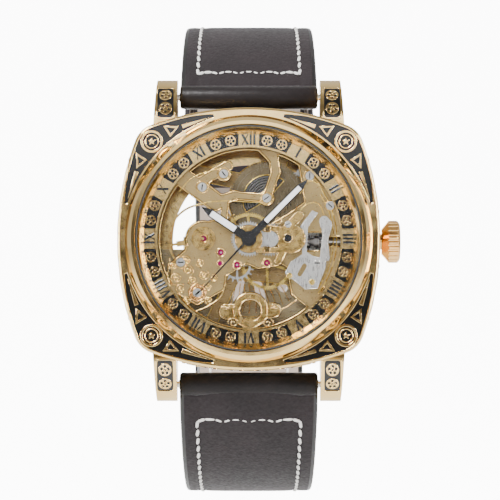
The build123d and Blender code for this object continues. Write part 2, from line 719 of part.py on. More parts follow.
CLICK = (8.9, 11.4)
with BuildPart() as click:
    with BuildSketch(facing(4.55)):
        with Locations(CLICK):
            Circle(0.8)
        beam(CLICK, (7.55, 11.05), 0.5)
    extrude(amount=0.25)
save(click.part, "click")

with BuildPart() as centre_wheel:
    wheel(CENTRE, CENTRE_TEETH, CENTRE_PITCH, 6.45, 6.68, line_angle(CENTRE, THIRD), 5, 1.3)
    start = meshing(BARREL, BARREL_TEETH, line_angle(BARREL, CENTRE), CENTRE, CENTRE_LEAVES)
    pinion(CENTRE, CENTRE_LEAVES, CENTRE_PINION_R, 5.92, 6.45, start)
    disc(CENTRE, 0.5, 6.68, 8.05)
    disc(CENTRE, 0.26, 5.9, 8.1, mode=Mode.SUBTRACT)
save(centre_wheel.part, "centre_wheel")

with BuildPart() as third_wheel:
    wheel(THIRD, THIRD_TEETH, THIRD_PITCH, 5.5, 5.72, line_angle(THIRD, CENTRE), 5, 0.8)
    start = meshing(CENTRE, CENTRE_TEETH, line_angle(CENTRE, THIRD), THIRD, THIRD_LEAVES)
    pinion(THIRD, THIRD_LEAVES, THIRD_PINION_R, 6.3, 6.8, start)
    disc(THIRD, 0.35, 4.6, 6.86)
    disc(THIRD, 0.15, 3.5, 7.9)
save(third_wheel.part, "third_wheel")

with BuildPart() as fourth_wheel:
    wheel(CENTRE, SECOND_TEETH, SECOND_PITCH, 4.88, 5.1, line_angle(CENTRE, ESCAPE), 5, 0.8)
    start = meshing(THIRD, THIRD_TEETH, line_angle(THIRD, CENTRE), CENTRE, SECOND_LEAVES)
    pinion(CENTRE, SECOND_LEAVES, SECOND_PINION_R, 5.1, 5.86, start)
    disc(CENTRE, 0.22, 4.2, H_HANDS + 0.8)
save(fourth_wheel.part, "fourth_wheel")

with BuildPart() as escape_wheel:
    with BuildSketch(facing(6.0)) as escape_face:
        toothed(ESCAPE_TEETH, ESCAPE_R, 2.35, ESCAPE, line_angle(ESCAPE, PALLET) + 4, 0.1, 0.45)
        spokes(ESCAPE, 0.55, 2.0, 4, 0.36)
    extrude(amount=0.2)
    start = meshing(CENTRE, SECOND_TEETH, line_angle(CENTRE, ESCAPE), ESCAPE, ESCAPE_LEAVES)
    pinion(ESCAPE, ESCAPE_LEAVES, ESCAPE_PINION_R, 4.75, 5.3, start)
    disc(ESCAPE, 0.24, 5.3, 6.0)
    disc(ESCAPE, 0.15, 3.5, 7.9)
save(escape_wheel.part, "escape_wheel")

EMBRACE = 30.0
with BuildPart() as pallet_fork:
    out = line_angle(ESCAPE, PALLET)
    with BuildSketch(facing(6.0)):
        for side in (1, -1):
            turn = radians(out + side * EMBRACE)
            grip = (ESCAPE[0] + 3.35 * cos(turn), ESCAPE[1] + 3.35 * sin(turn))
            beam(PALLET, grip, 0.42)
        reach = between(PALLET, BALANCE)
        along = ((BALANCE[0] - PALLET[0]) / reach, (BALANCE[1] - PALLET[1]) / reach)
        beam(PALLET, (PALLET[0] + 2.5 * along[0], PALLET[1] + 2.5 * along[1]), 0.36)
        with Locations(PALLET):
            Circle(0.4)
    extrude(amount=0.2)
    disc(PALLET, 0.15, 5.95, 7.9)
save(pallet_fork.part, "pallet_fork")

with BuildPart() as pallet_stones:
    out = line_angle(ESCAPE, PALLET)
    for side in (1, -1):
        turn = radians(out + side * EMBRACE)
        with BuildSketch(facing(6.21)):
            spot = (ESCAPE[0] + 3.42 * cos(turn), ESCAPE[1] + 3.42 * sin(turn))
            with Locations(spot):
                Rectangle(0.7, 0.26, rotation=out + side * EMBRACE)
        extrude(amount=0.14)
save(pallet_stones.part, "pallet_stones")

with BuildPart() as balance_wheel:
    with BuildSketch(facing(5.3)):
        with Locations(BALANCE):
            Circle(6.05)
            Circle(5.72, mode=Mode.SUBTRACT)
    extrude(amount=0.5)
    with BuildSketch(facing(5.42)):
        with Locations(BALANCE):
            Rectangle(11.6, 0.42, rotation=-170)
            with PolarLocations(3.7, 2, start_angle=-170):
                Rectangle(1.9, 0.95)
            Circle(0.8)
    extrude(amount=0.24)
    disc(BALANCE, 0.5, 5.66, 5.9)
    disc(BALANCE, 0.15, 3.5, 7.9)
    disc((BALANCE[0] + 0.68 * cos(radians(-38.6)), BALANCE[1] + 0.68 * sin(radians(-38.6))), 0.09, 5.6, 6.25)
    disc(BALANCE, 0.78, 5.66, 5.82)
save(balance_wheel.part, "balance_wheel")

with BuildPart() as hairspring:
    with BuildSketch(facing(4.72)):
        with Locations(BALANCE):
            for turn in range(6):
                Circle(2.7 - 0.36 * turn)
                Circle(2.63 - 0.36 * turn, mode=Mode.SUBTRACT)
            Rectangle(2.6, 0.07, align=(Align.MIN, Align.CENTER))
            Circle(0.55)
            Circle(0.18, mode=Mode.SUBTRACT)
    extrude(amount=0.12)
save(hairspring.part, "hairspring")

# ---- motion work ----
MINUTE_START = meshing(CENTRE, CANNON_TEETH, line_angle(CENTRE, MINUTE), MINUTE, MINUTE_TEETH)
SETTING = (7.31, -0.07)
SETTING_TEETH = 14

with BuildPart() as cannon_pinion:
    pinion(CENTRE, CANNON_TEETH, CANNON_PITCH, 8.12, 8.36, line_angle(CENTRE, MINUTE))
    disc(CENTRE, 0.5, 8.36, H_HANDS + 0.62)
    disc(CENTRE, 0.26, 8.1, H_HANDS + 0.65, mode=Mode.SUBTRACT)
save(cannon_pinion.part, "cannon_pinion")

with BuildPart() as minute_wheel:
    wheel(MINUTE, MINUTE_TEETH, MINUTE_PITCH, 8.14, 8.34, MINUTE_START, 4, 1.0)
    pinion(MINUTE, MINUTE_LEAVES, MINUTE_PINION_R, 8.34, 8.68, line_angle(MINUTE, CENTRE))
    disc(MINUTE, 0.2, 8.05, 9.0)
    disc(MINUTE, 1.35, 8.86, 9.0)
save(minute_wheel.part, "minute_wheel")

with BuildPart() as hour_wheel:
    start = meshing(MINUTE, MINUTE_LEAVES, line_angle(MINUTE, CENTRE), CENTRE, HOUR_TEETH)
    wheel(CENTRE, HOUR_TEETH, HOUR_PITCH, 8.46, 8.66, start, 4, 1.2)
    disc(CENTRE, 0.84, 8.66, H_HANDS + 0.2)
    disc(CENTRE, 0.56, 8.4, H_HANDS + 0.3, mode=Mode.SUBTRACT)
save(hour_wheel.part, "hour_wheel")

with BuildPart() as setting_wheel:
    start = meshing(MINUTE, MINUTE_TEETH, MINUTE_START, SETTING, SETTING_TEETH)
    pinion(SETTING, SETTING_TEETH, between(MINUTE, SETTING) - MINUTE_PITCH, 8.14, 8.4, start)
    disc(SETTING, 0.2, 8.02, 8.78)
save(setting_wheel.part, "setting_wheel")

# ---- keyless work, along the stem's line ----


def along_stem(radius, start, end, mode=Mode.ADD):
    with BuildSketch(Plane.YZ.offset(start)) as face:
        with Locations((-STEM_H, STEM_Z)):
            Circle(radius)
    extrude(face.sketch, amount=end - start, mode=mode)


def stem_gear(teeth, tip, root, start, end):
    with BuildSketch(Plane.YZ.offset(start)) as face:
        toothed(teeth, tip, root, (-STEM_H, STEM_Z), 0, 0.3, 0.5)
    extrude(face.sketch, amount=end - start)


CROWN_R, CROWN_IN, CROWN_OUT = 3.55, 22.2, 25.3
FLUTES = 26

with BuildPart() as winding_stem:
    along_stem(0.42, 9.6, 14.2)
    along_stem(STEM_R, 14.2, 15.0)
    along_stem(0.42, 15.0, 15.5)
    along_stem(STEM_R, 15.5, 23.1)
save(winding_stem.part, "winding_stem")

with BuildPart() as crown:
    with BuildSketch(Plane.XY) as crown_profile:
        with BuildLine():
            Polyline(
                (CROWN_IN, -STEM_H - 1.5), (CROWN_IN, -STEM_H - 2.1), (CROWN_IN + 1.2, -STEM_H - CROWN_R),
                (CROWN_OUT - 0.5, -STEM_H - CROWN_R),
            )
            ThreePointArc(
                (CROWN_OUT - 0.5, -STEM_H - CROWN_R), (CROWN_OUT - 0.12, -STEM_H - CROWN_R + 0.35),
                (CROWN_OUT, -STEM_H - CROWN_R + 0.9),
            )
            Polyline(
                (CROWN_OUT, -STEM_H - CROWN_R + 0.9), (CROWN_OUT, -STEM_H), (CROWN_OUT - 2.2, -STEM_H),
                (CROWN_OUT - 2.2, -STEM_H - 1.5), (CROWN_IN, -STEM_H - 1.5),
            )
        make_face()
    revolve(axis=Axis((0, -STEM_H, 0), (1, 0, 0)))
    with BuildSketch(Plane.YZ.offset(CROWN_IN)) as flutes:
        with Locations((-STEM_H, 0)):
            with PolarLocations(CROWN_R + 0.05, FLUTES):
                Circle(0.24)
    extrude(amount=5, mode=Mode.SUBTRACT)
crown.part.position += (0, 0, STEM_Z)
save(crown.part, "crown")

WINDING_LEAVES = 14
with BuildPart() as winding_pinion:
    stem_gear(WINDING_LEAVES, 1.34, 1.02, 11.75, 13.1)
    along_stem(0.46, 11, 14, mode=Mode.SUBTRACT)
save(winding_pinion.part, "winding_pinion")

with BuildPart() as sliding_pinion:
    stem_gear(12, 1.1, 0.8, 9.75, 10.3)
    along_stem(0.7, 10.3, 10.9)
    along_stem(1.0, 10.9, 11.68)
    along_stem(0.46, 9, 12, mode=Mode.SUBTRACT)
save(sliding_pinion.part, "sliding_pinion")

LEVER_PIVOT = (12.6, 3.0)
with BuildPart() as setting_lever:
    with BuildSketch(facing(8.18)):
        beam(LEVER_PIVOT, (13.0, -3.2), 1.0)
        with Locations(LEVER_PIVOT):
            Circle(0.85)
            Circle(0.35, mode=Mode.SUBTRACT)
    extrude(amount=0.22)
save(setting_lever.part, "setting_lever")

with BuildPart() as setting_cover:
    with BuildSketch(facing(8.5)):
        region([(6.1, -5.7), (9.4, -8.4), (11.4, -8.3), (12.8, -4.6), (13.3, 0.2), (13.8, 1.9), (12.5, 1.9),
                (11.9, -3.2), (10.6, -2.9), (9.6, -2.2), (9.8, 2.0), (11.5, 4.3), (10.6, 4.7), (8.6, 2.0),
                (9.0, -2.6), (7.0, -3.9)])
        beam((9.4, -4.2), (8.5, -6.2), 1.2)
        with Locations((8.9, -5.2)):
            SlotCenterToCenter(1.6, 0.9, rotation=60, mode=Mode.SUBTRACT)
    extrude(amount=0.22)
    for spot in ((6.9, -6.2), (10.6, -7.3), (12.4, 3.0)):
        disc(spot, 0.5, 8.5, 8.8)
    disc(LEVER_PIVOT, 0.31, 8.02, 8.5)
    disc((10.6, -7.3), 0.4, 8.02, 8.5)
    with BuildSketch(facing(8.5)):
        with Locations((12.9, 2.4)):
            Circle(0.95)
    extrude(amount=0.22)
save(setting_cover.part, "setting_cover")

# ---- automatic winding, behind the bridges ----
REVERSER_TEETH, ROTOR_TEETH = 24, 36
ROTOR_PITCH, REVERSER_PITCH = pitch_radii(CENTRE, REVERSERS[0], ROTOR_TEETH, REVERSER_TEETH)

with BuildPart() as rotor:
    with BuildSketch(facing(H_ROTOR)):
        with BuildSketch(mode=Mode.PRIVATE) as sector:
            Circle(ROTOR_R)
            with Locations((0, 8.5)):
                Rectangle(40, 20, mode=Mode.SUBTRACT)
        add(sector.sketch)
        Circle(12.9, mode=Mode.SUBTRACT)
    extrude(amount=1.0)
    with BuildSketch(facing(H_ROTOR + 0.3)):
        Circle(13.2)
        with Locations((0, 8.5)):
            Rectangle(40, 20, mode=Mode.SUBTRACT)
        with PolarLocations(8.2, 5, start_angle=210, angular_range=120):
            SlotCenterToCenter(3.4, 1.5, mode=Mode.SUBTRACT)
        Circle(2.9)
        Rectangle(5.0, 4.0, align=(Align.CENTER, Align.MAX))
        Circle(2.62, mode=Mode.SUBTRACT)
    extrude(amount=0.4)
    with BuildSketch(facing(H_ROTOR + 0.7)):
        toothed(ROTOR_TEETH, ROTOR_PITCH + 0.1, ROTOR_PITCH - 0.2, CENTRE, line_angle(CENTRE, REVERSERS[0]))
        Circle(2.35, mode=Mode.SUBTRACT)
    extrude(amount=0.5)
save(rotor.part, "rotor")

with BuildPart() as rotor_bearing:
    disc(CENTRE, 1.6, H_ROTOR, H_ROTOR + 1.3)
    disc(CENTRE, 0.8, H_ROTOR + 1.3, 4.1)
    with BuildSketch(facing(H_ROTOR)):
        Rectangle(2.2, 0.35)
    extrude(amount=0.3, mode=Mode.SUBTRACT)
    with Locations(Plane.XZ.offset(H_ROTOR + 0.6)):
        with PolarLocations(1.95, 7):
            Sphere(0.3)
save(rotor_bearing.part, "rotor_bearing")

for number, spot in enumerate(REVERSERS):
    start = meshing(CENTRE, ROTOR_TEETH, line_angle(CENTRE, REVERSERS[0]), spot, REVERSER_TEETH)
    with BuildPart() as reverser:
        with BuildSketch(facing(H_WIND)):
            toothed(REVERSER_TEETH, REVERSER_PITCH + 0.1, REVERSER_PITCH - 0.2, spot, start)
            with Locations(spot):
                Circle(0.25, mode=Mode.SUBTRACT)
        extrude(amount=0.25)
    save(reverser.part, f"reversing_wheel_{number + 1}")
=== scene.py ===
"""Looks of the skeleton wristwatch, in metres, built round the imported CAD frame."""
from math import atan2, cos, hypot, pi, radians, sin, sqrt

import bpy
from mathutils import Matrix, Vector


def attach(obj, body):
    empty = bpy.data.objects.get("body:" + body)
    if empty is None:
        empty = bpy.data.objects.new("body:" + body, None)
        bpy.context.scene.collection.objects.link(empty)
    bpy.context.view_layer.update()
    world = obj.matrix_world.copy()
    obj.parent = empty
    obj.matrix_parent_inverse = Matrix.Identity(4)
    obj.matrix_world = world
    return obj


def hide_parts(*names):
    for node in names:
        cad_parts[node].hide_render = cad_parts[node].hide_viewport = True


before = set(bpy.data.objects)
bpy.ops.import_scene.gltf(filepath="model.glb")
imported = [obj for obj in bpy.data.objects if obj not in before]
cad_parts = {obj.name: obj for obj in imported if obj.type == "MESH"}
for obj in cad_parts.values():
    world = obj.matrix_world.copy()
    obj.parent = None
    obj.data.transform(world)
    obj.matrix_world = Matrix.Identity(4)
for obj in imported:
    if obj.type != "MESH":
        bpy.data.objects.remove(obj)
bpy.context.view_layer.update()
MM = 0.001


# ---- materials ----
def shader(name):
    """A new material, its nodes and its Principled shader."""
    material = bpy.data.materials.new(name)
    material.use_nodes = True
    nodes = material.node_tree.nodes
    return material, nodes, material.node_tree.links, nodes["Principled BSDF"]


def textured(nodes, links, kind, scale, stretch=(1, 1, 1), **settings):
    """A noise-like texture on object coordinates; gives its node."""
    coords = nodes.new("ShaderNodeTexCoord")
    mapping = nodes.new("ShaderNodeMapping")
    mapping.inputs["Scale"].default_value = stretch
    texture = nodes.new(kind)
    texture.inputs["Scale"].default_value = scale
    for key, value in settings.items():
        texture.inputs[key].default_value = value
    links.new(coords.outputs["Object"], mapping.inputs["Vector"])
    links.new(mapping.outputs["Vector"], texture.inputs["Vector"])
    return texture


def ramp(nodes, links, source, low, high, start=0.3, end=0.7):
    """A colour ramp from a texture's first output."""
    node = nodes.new("ShaderNodeValToRGB")
    node.color_ramp.elements[0].position, node.color_ramp.elements[1].position = start, end
    node.color_ramp.elements[0].color = (*low, 1)
    node.color_ramp.elements[1].color = (*high, 1)
    links.new(source, node.inputs["Fac"])
    return node.outputs["Color"]


def bump(nodes, links, principled, source, strength, distance):
    node = nodes.new("ShaderNodeBump")
    node.inputs["Strength"].default_value = strength
    node.inputs["Distance"].default_value = distance
    links.new(source, node.inputs["Height"])
    links.new(node.outputs["Normal"], principled.inputs["Normal"])


def metal(name, colour, dark, rough, grain=900, stretch=(1, 1, 1), relief=0.15):
    """Plated or cut metal: colour drift, streaked roughness and a fine relief."""
    material, nodes, links, principled = shader(name)
    principled.inputs["Metallic"].default_value = 1.0
    drift = textured(nodes, links, "ShaderNodeTexNoise", 160, Detail=4)
    links.new(ramp(nodes, links, drift.outputs["Fac"], dark, colour), principled.inputs["Base Color"])
    streak = textured(nodes, links, "ShaderNodeTexNoise", grain, stretch, Detail=3)
    low, high = (rough * 0.7,) * 3, (min(rough * 1.5, 1),) * 3
    links.new(ramp(nodes, links, streak.outputs["Fac"], low, high), principled.inputs["Roughness"])
    bump(nodes, links, principled, streak.outputs["Fac"], relief, 0.00002)
    return material


def enamel(name, colour, rough, coat=0.0, relief=0.05):
    """Lacquer, paint or lume: slight mottling and orange peel."""
    material, nodes, links, principled = shader(name)
    principled.inputs["Coat Weight"].default_value = coat
    principled.inputs["Coat Roughness"].default_value = 0.08
    mottle = textured(nodes, links, "ShaderNodeTexNoise", 700, Detail=3)
    dark = tuple(0.8 * c for c in colour)
    links.new(ramp(nodes, links, mottle.outputs["Fac"], dark, colour), principled.inputs["Base Color"])
    principled.inputs["Roughness"].default_value = rough
    bump(nodes, links, principled, mottle.outputs["Fac"], relief, 0.00002)
    return material


def clear(name, colour, alpha):
    """Crystal or ruby: mostly see-through, with sharp reflections."""
    material, nodes, links, principled = shader(name)
    haze = textured(nodes, links, "ShaderNodeTexNoise", 60, Detail=2)
    pale = tuple(min(1, 1.1 * c) for c in colour)
    links.new(ramp(nodes, links, haze.outputs["Fac"], colour, pale), principled.inputs["Base Color"])
    principled.inputs["Roughness"].default_value = 0.02
    principled.inputs["Alpha"].default_value = alpha
    material.surface_render_method = "BLENDED"
    return material


def hide(name, colour, dark, rough, pores, relief):
    """Leather: pores, fine creases and worn sheen."""
    material, nodes, links, principled = shader(name)
    blotch = textured(nodes, links, "ShaderNodeTexNoise", 90, Detail=6, Roughness=0.6)
    links.new(ramp(nodes, links, blotch.outputs["Fac"], dark, colour), principled.inputs["Base Color"])
    grain = textured(nodes, links, "ShaderNodeTexVoronoi", pores, Randomness=1.0)
    crease = textured(nodes, links, "ShaderNodeTexNoise", pores * 0.7, Detail=5)
    blend = nodes.new("ShaderNodeMath")
    blend.operation = "MULTIPLY"
    links.new(grain.outputs["Distance"], blend.inputs[0])
    links.new(crease.outputs["Fac"], blend.inputs[1])
    bump(nodes, links, principled, blend.outputs["Value"], relief, 0.00012)
    low, high = (rough * 0.8,) * 3, (rough * 1.25,) * 3
    links.new(ramp(nodes, links, crease.outputs["Fac"], low, high), principled.inputs["Roughness"])
    principled.inputs["Sheen Weight"].default_value = 0.08
    principled.inputs["Specular IOR Level"].default_value = 0.42
    principled.inputs["Specular IOR Level"].default_value = 0.18
    return material


def thread_look(name, colour):
    material, nodes, links, principled = shader(name)
    twist = textured(nodes, links, "ShaderNodeTexWave", 2600, Distortion=1.5)
    dark = tuple(0.72 * c for c in colour)
    links.new(ramp(nodes, links, twist.outputs["Fac"], dark, colour), principled.inputs["Base Color"])
    principled.inputs["Roughness"].default_value = 0.75
    bump(nodes, links, principled, twist.outputs["Fac"], 0.5, 0.00005)
    return material


GOLD = metal("gold_polished", (0.85, 0.61, 0.27), (0.77, 0.53, 0.21), 0.11, 500, relief=0.03)
GOLD_RELIEF = metal("gold_relief", (0.86, 0.63, 0.27), (0.78, 0.54, 0.20), 0.17, 1500, relief=0.08)
CROWN_GOLD = metal("gold_crown", (0.88, 0.55, 0.22), (0.74, 0.41, 0.13), 0.16, 900, relief=0.06)
# brushed gold whose base colour is darkened as painted shade for the lower layers of the movement
GOLD_BRUSHED_PAINTED_SHADE = metal("gold_brushed_painted_shade", (0.44, 0.31, 0.14), (0.30, 0.20, 0.085), 0.30, 700, (1, 1, 9), 0.1)
GOLD_GRAINED = metal("gold_grained", (0.50, 0.36, 0.16), (0.40, 0.28, 0.12), 0.33, 2600, relief=0.12)
GOLD_WARM = metal("gold_warm", (0.86, 0.60, 0.22), (0.76, 0.50, 0.16), 0.18, 1200, relief=0.15)
# dark gold of the barrel: painted shade that darkens the barrel drum and cover as if in shadow
GOLD_BARREL_PAINTED_SHADE = metal("gold_barrel_painted_shade", (0.25, 0.20, 0.12), (0.14, 0.11, 0.065), 0.30, 600, (9, 1, 1), 0.12)
# brushed rotor gold whose base colour is darkened as painted shade, the rotor lying deep under the movement
ROTOR_PAINTED_SHADE = metal("rotor_brushed_painted_shade", (0.46, 0.37, 0.22), (0.32, 0.25, 0.14), 0.30, 600, (1, 1, 10), 0.12)
BRASS = metal("brass_wheels", (0.90, 0.68, 0.22), (0.78, 0.53, 0.12), 0.22, 900, relief=0.1)
STEEL = metal("steel_brushed", (0.72, 0.71, 0.69), (0.58, 0.57, 0.55), 0.28, 700, (9, 1, 1), 0.1)
STEEL_DARK = metal("steel_dark", (0.22, 0.21, 0.20), (0.10, 0.095, 0.09), 0.32, 900, relief=0.2)
LACQUER = enamel("black_lacquer", (0.003, 0.0026, 0.0022), 0.16, 0.0, 0.02)
HAND_BLACK = enamel("hand_black", (0.012, 0.012, 0.013), 0.18, 0.6)
LUME = enamel("white_lume", (0.86, 0.86, 0.90), 0.6)
GASKET = enamel("gasket_rubber", (0.02, 0.02, 0.02), 0.6)
CRYSTAL = clear("mineral_crystal", (0.02, 0.022, 0.025), 0.05)
RUBY = clear("ruby", (0.20, 0.006, 0.06), 0.94)
LEATHER = hide("strap_leather", (0.016, 0.011, 0.0125), (0.0075, 0.0052, 0.006), 0.62, 2300, 0.55)
FOLD_LEATHER = hide("fold_leather", (0.009, 0.006, 0.0065), (0.004, 0.003, 0.003), 0.42, 2300, 0.35)
LINING = hide("lining_leather", (0.40, 0.33, 0.28), (0.30, 0.24, 0.20), 0.62, 3200, 0.4)
EDGE_PAINT = enamel("edge_paint", (0.006, 0.005, 0.005), 0.35)
THREAD = thread_look("white_thread", (0.80, 0.78, 0.74))

LOOKS = {
    GOLD: ["bezel", "buckle_frame", "buckle_bar", "buckle_tongue", "flange_ring", "case_body"],
    GOLD_RELIEF: ["chapter_ring", "case_back_ring"],
    CROWN_GOLD: ["crown"],
    GOLD_GRAINED: ["main_plate", "balance_cock"],
    # painted shade: darkened brushed gold on the lower bridges and the movement ring
    GOLD_BRUSHED_PAINTED_SHADE: ["train_bridge", "movement_ring", "barrel_bridge"],
    GOLD_WARM: ["motion_bridge", "ring_bridge", "shock_setting", "balance_wheel"],
    # painted shade: dark gold on the barrel drum and cover
    GOLD_BARREL_PAINTED_SHADE: ["barrel_drum", "barrel_cover"],
    # painted shade: darkened gold on the rotor
    ROTOR_PAINTED_SHADE: ["rotor"],
    BRASS: ["centre_wheel", "third_wheel", "fourth_wheel"],
    STEEL: ["spring_bars", "movement_screws", "ratchet_wheel", "crown_wheel", "minute_wheel", "hour_wheel",
            "winding_stem", "setting_lever", "setting_cover", "rotor_bearing", "escape_wheel",
            "pallet_fork", "hairspring", "reversing_wheel_1", "reversing_wheel_2", "click"],
    STEEL_DARK: ["mainspring", "cannon_pinion", "setting_wheel", "winding_pinion", "sliding_pinion"],
    LACQUER: ["chapter_lacquer"],
    HAND_BLACK: ["hour_hand", "minute_hand", "second_hand"],
    LUME: ["hour_hand_lume", "minute_hand_lume"],
    GASKET: ["crystal_gasket"],
    CRYSTAL: ["front_crystal", "case_back_glass"],
    RUBY: ["jewels", "pallet_stones"],
}
for look, names in LOOKS.items():
    for node in names:
        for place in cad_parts[node].material_slots:
            place.material = look


# ---- mesh helpers ----
def mesh_piece(name, points, faces, looks, body, face_looks=None, smooth=True):
    """A piece from points in millimetres (x, y, z)."""
    mesh = bpy.data.meshes.new(name)
    mesh.from_pydata([tuple(MM * v for v in p) for p in points], [], faces)
    for look in looks:
        mesh.materials.append(look)
    for index, polygon in enumerate(mesh.polygons):
        polygon.use_smooth = smooth
        if face_looks:
            polygon.material_index = face_looks[index]
    mesh.validate()
    piece = bpy.data.objects.new(name, mesh)
    bpy.context.scene.collection.objects.link(piece)
    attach(piece, body)
    return piece


def ring_points(radius, centre=(0, 0), count=48, start=0.0, turn=2 * pi):
    return [(centre[0] + radius * cos(start + turn * i / count),
             centre[1] + radius * sin(start + turn * i / count)) for i in range(count)]


def arc_points(radius, start, end, count=24, centre=(0, 0)):
    """Points of an arc, degrees counterclockwise from 3 o'clock."""
    return [(centre[0] + radius * cos(radians(start + (end - start) * i / count)),
             centre[1] + radius * sin(radians(start + (end - start) * i / count)))
            for i in range(count + 1)]


def hole(points):
    """An outline turned round, for a hole."""
    return list(reversed(points))


def arc_band(radius, wide, start, end, count=24, centre=(0, 0)):
    """Outline of a curved band round a radius."""
    outer = arc_points(radius + wide / 2, start, end, count, centre)
    return outer + hole(arc_points(radius - wide / 2, start, end, count, centre))


def plate(name, loops, low, high, look, body, bevel=0.04, mapped=None):
    """A flat piece from closed outlines (inner ones are holes) between two heights, with soft edges."""
    curve = bpy.data.curves.new(name, "CURVE")
    curve.dimensions = "2D"
    curve.fill_mode = "BOTH"
    thick = high - low
    bevel = min(bevel, 0.45 * thick)
    curve.extrude = max(thick / 2 - bevel, 0.001)
    curve.bevel_depth = bevel
    curve.bevel_resolution = 1
    curve.offset = -bevel
    for loop in loops:
        spline = curve.splines.new("POLY")
        spline.points.add(len(loop) - 1)
        for point, (x, z) in zip(spline.points, loop):
            point.co = (x, z, 0, 1)
        spline.use_cyclic_u = True
    source = bpy.data.objects.new(name + ".source", curve)
    mesh = bpy.data.meshes.new_from_object(source)
    bpy.data.objects.remove(source)
    middle = (low + high) / 2
    for vertex in mesh.vertices:
        x, z, lift = vertex.co
        if mapped:
            vertex.co = Vector(mapped(x, z, middle + lift)) * MM
        else:
            vertex.co = (x * MM, -(middle + lift) * MM, z * MM)
    mesh.name = name
    mesh.materials.clear()
    mesh.materials.append(look)
    piece = bpy.data.objects.new(name, mesh)
    bpy.context.scene.collection.objects.link(piece)
    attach(piece, body)
    return piece


def capsules(name, runs, radius, look, body, sides=6):
    """Many short round-ended rods as one piece: runs are (start, end, out) in millimetres."""
    points, faces = [], []
    for start, end, out in runs:
        a, b = Vector(start), Vector(end)
        along = (b - a).normalized()
        side = along.cross(Vector(out)).normalized()
        rise = side.cross(along)
        stations = [(0.0, 0.25), (0.12, 0.8), (0.3, 1.0), (0.7, 1.0), (0.88, 0.8), (1.0, 0.25)]
        first = len(points)
        for share, swell in stations:
            middle = a.lerp(b, share)
            for i in range(sides):
                turn = 2 * pi * i / sides
                points.append(tuple(middle + radius * swell * (cos(turn) * side * 1.25 + sin(turn) * rise)))
        for s in range(len(stations) - 1):
            for i in range(sides):
                j = (i + 1) % sides
                row, above = first + s * sides, first + (s + 1) * sides
                faces.append((row + i, row + j, above + j, above + i))
        faces.append(tuple(first + i for i in reversed(range(sides))))
        faces.append(tuple(first + (len(stations) - 1) * sides + i for i in range(sides)))
    return mesh_piece(name, points, faces, [look], body)


# ---- strap: the same two ellipses as the CAD bands, seen along X in (y, z), millimetres ----
SHORT = {"mid": (22.5, -2.0), "axes": (30.0, 40.0), "thick": 2.8}
LONG = {"mid": (24.2, -0.4), "axes": (32.4, 41.9), "thick": 2.8}
SWELL = 0.55
BAR_Z, BAR_H, FOLD_R = 24.3, 3.0, 2.0
BUCKLE = (22.5 + 30 * cos(radians(6)), -2 + 40 * sin(radians(6)))


def half_width(y):
    return 11.7 if y < 0 else 11.7 - 1.7 * y / 62


def strap_point(band, turn, depth, x):
    """Point of a strap: depth 0 on the lining side, 1 outside; x in millimetres."""
    c, s, half = cos(radians(turn)), sin(radians(turn)), band["thick"] / 2
    outer = (band["mid"][0] - SWELL + (band["axes"][0] + half + SWELL / 2) * c,
             band["mid"][1] + (band["axes"][1] + half) * s)
    inner = (band["mid"][0] + SWELL + (band["axes"][0] - half - SWELL / 2) * c,
             band["mid"][1] + (band["axes"][1] - half) * s)
    return (x, inner[0] + depth * (outer[0] - inner[0]), inner[1] + depth * (outer[1] - inner[1]))


def section(width, padded):
    """Half-turned outline of a strap's section: (x, depth, part), part 0 leather, 1 edge, 2 lining."""
    edge, corner = width, 0.55
    groove = width - 2.9
    top = [(-edge + corner, 1.0), (-groove - 0.7, 1.0), (-groove, 0.945), (-groove + 0.7, 1.0),
           (-groove + 2.2, 1.0 + padded), (-groove * 0.35, 1.0 + 1.25 * padded), (0, 1.0 + 1.3 * padded)]
    top += [(-x, d) for x, d in reversed(top[:-1])]
    outline = [(x, d, 0) for x, d in top]
    outline += [(edge - 0.12, 0.93, 1), (edge, 0.78, 1), (edge, 0.25, 1), (edge - 0.12, 0.08, 1)]
    outline += [(edge - corner, 0.0, 2), (groove, 0.02, 2), (0, 0.0, 2),
                (-groove, 0.02, 2), (-edge + corner, 0.0, 2)]
    outline += [(-edge + 0.12, 0.08, 1), (-edge, 0.25, 1), (-edge, 0.78, 1), (-edge + 0.12, 0.93, 1)]
    return outline


def strap_half(name, band, start, end, node, tip=False, steps=150):
    """One leather half, with painted edges and a pale lining; a tip narrows to a point."""
    points, faces, looks = [], [], []
    count = None
    for i in range(steps + 1):
        share = i / steps
        turn = start + (end - start) * share
        _, y, _ = strap_point(band, turn, 0.5, 0)
        width = half_width(y)
        if tip:
            left = (1 - share) * abs(end - start)
            if left < 13:
                width *= max(0.16, sqrt(1 - (1 - left / 13) ** 2.2))
        padded = 0.07 * max(0.0, 1 - share * 2.6)
        ring = section(width, padded)
        count = len(ring)
        points += [strap_point(band, turn, depth, x) for x, depth, _ in ring]
    for i in range(steps):
        for j in range(count):
            k = (j + 1) % count
            faces.append((i * count + j, i * count + k, (i + 1) * count + k, (i + 1) * count + j))
            pair = (ring[j][2], ring[k][2])
            part = min(pair) if 2 in pair else max(pair)
            looks.append(part)
    faces.append(tuple(reversed(range(count))))
    faces.append(tuple(steps * count + j for j in range(count)))
    looks += [1, 1]
    piece = mesh_piece(name, points, faces, [LEATHER, EDGE_PAINT, LINING], "watch", looks)
    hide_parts(node)
    soften = piece.modifiers.new("round", "SUBSURF")
    soften.levels = soften.render_levels = 1
    return piece


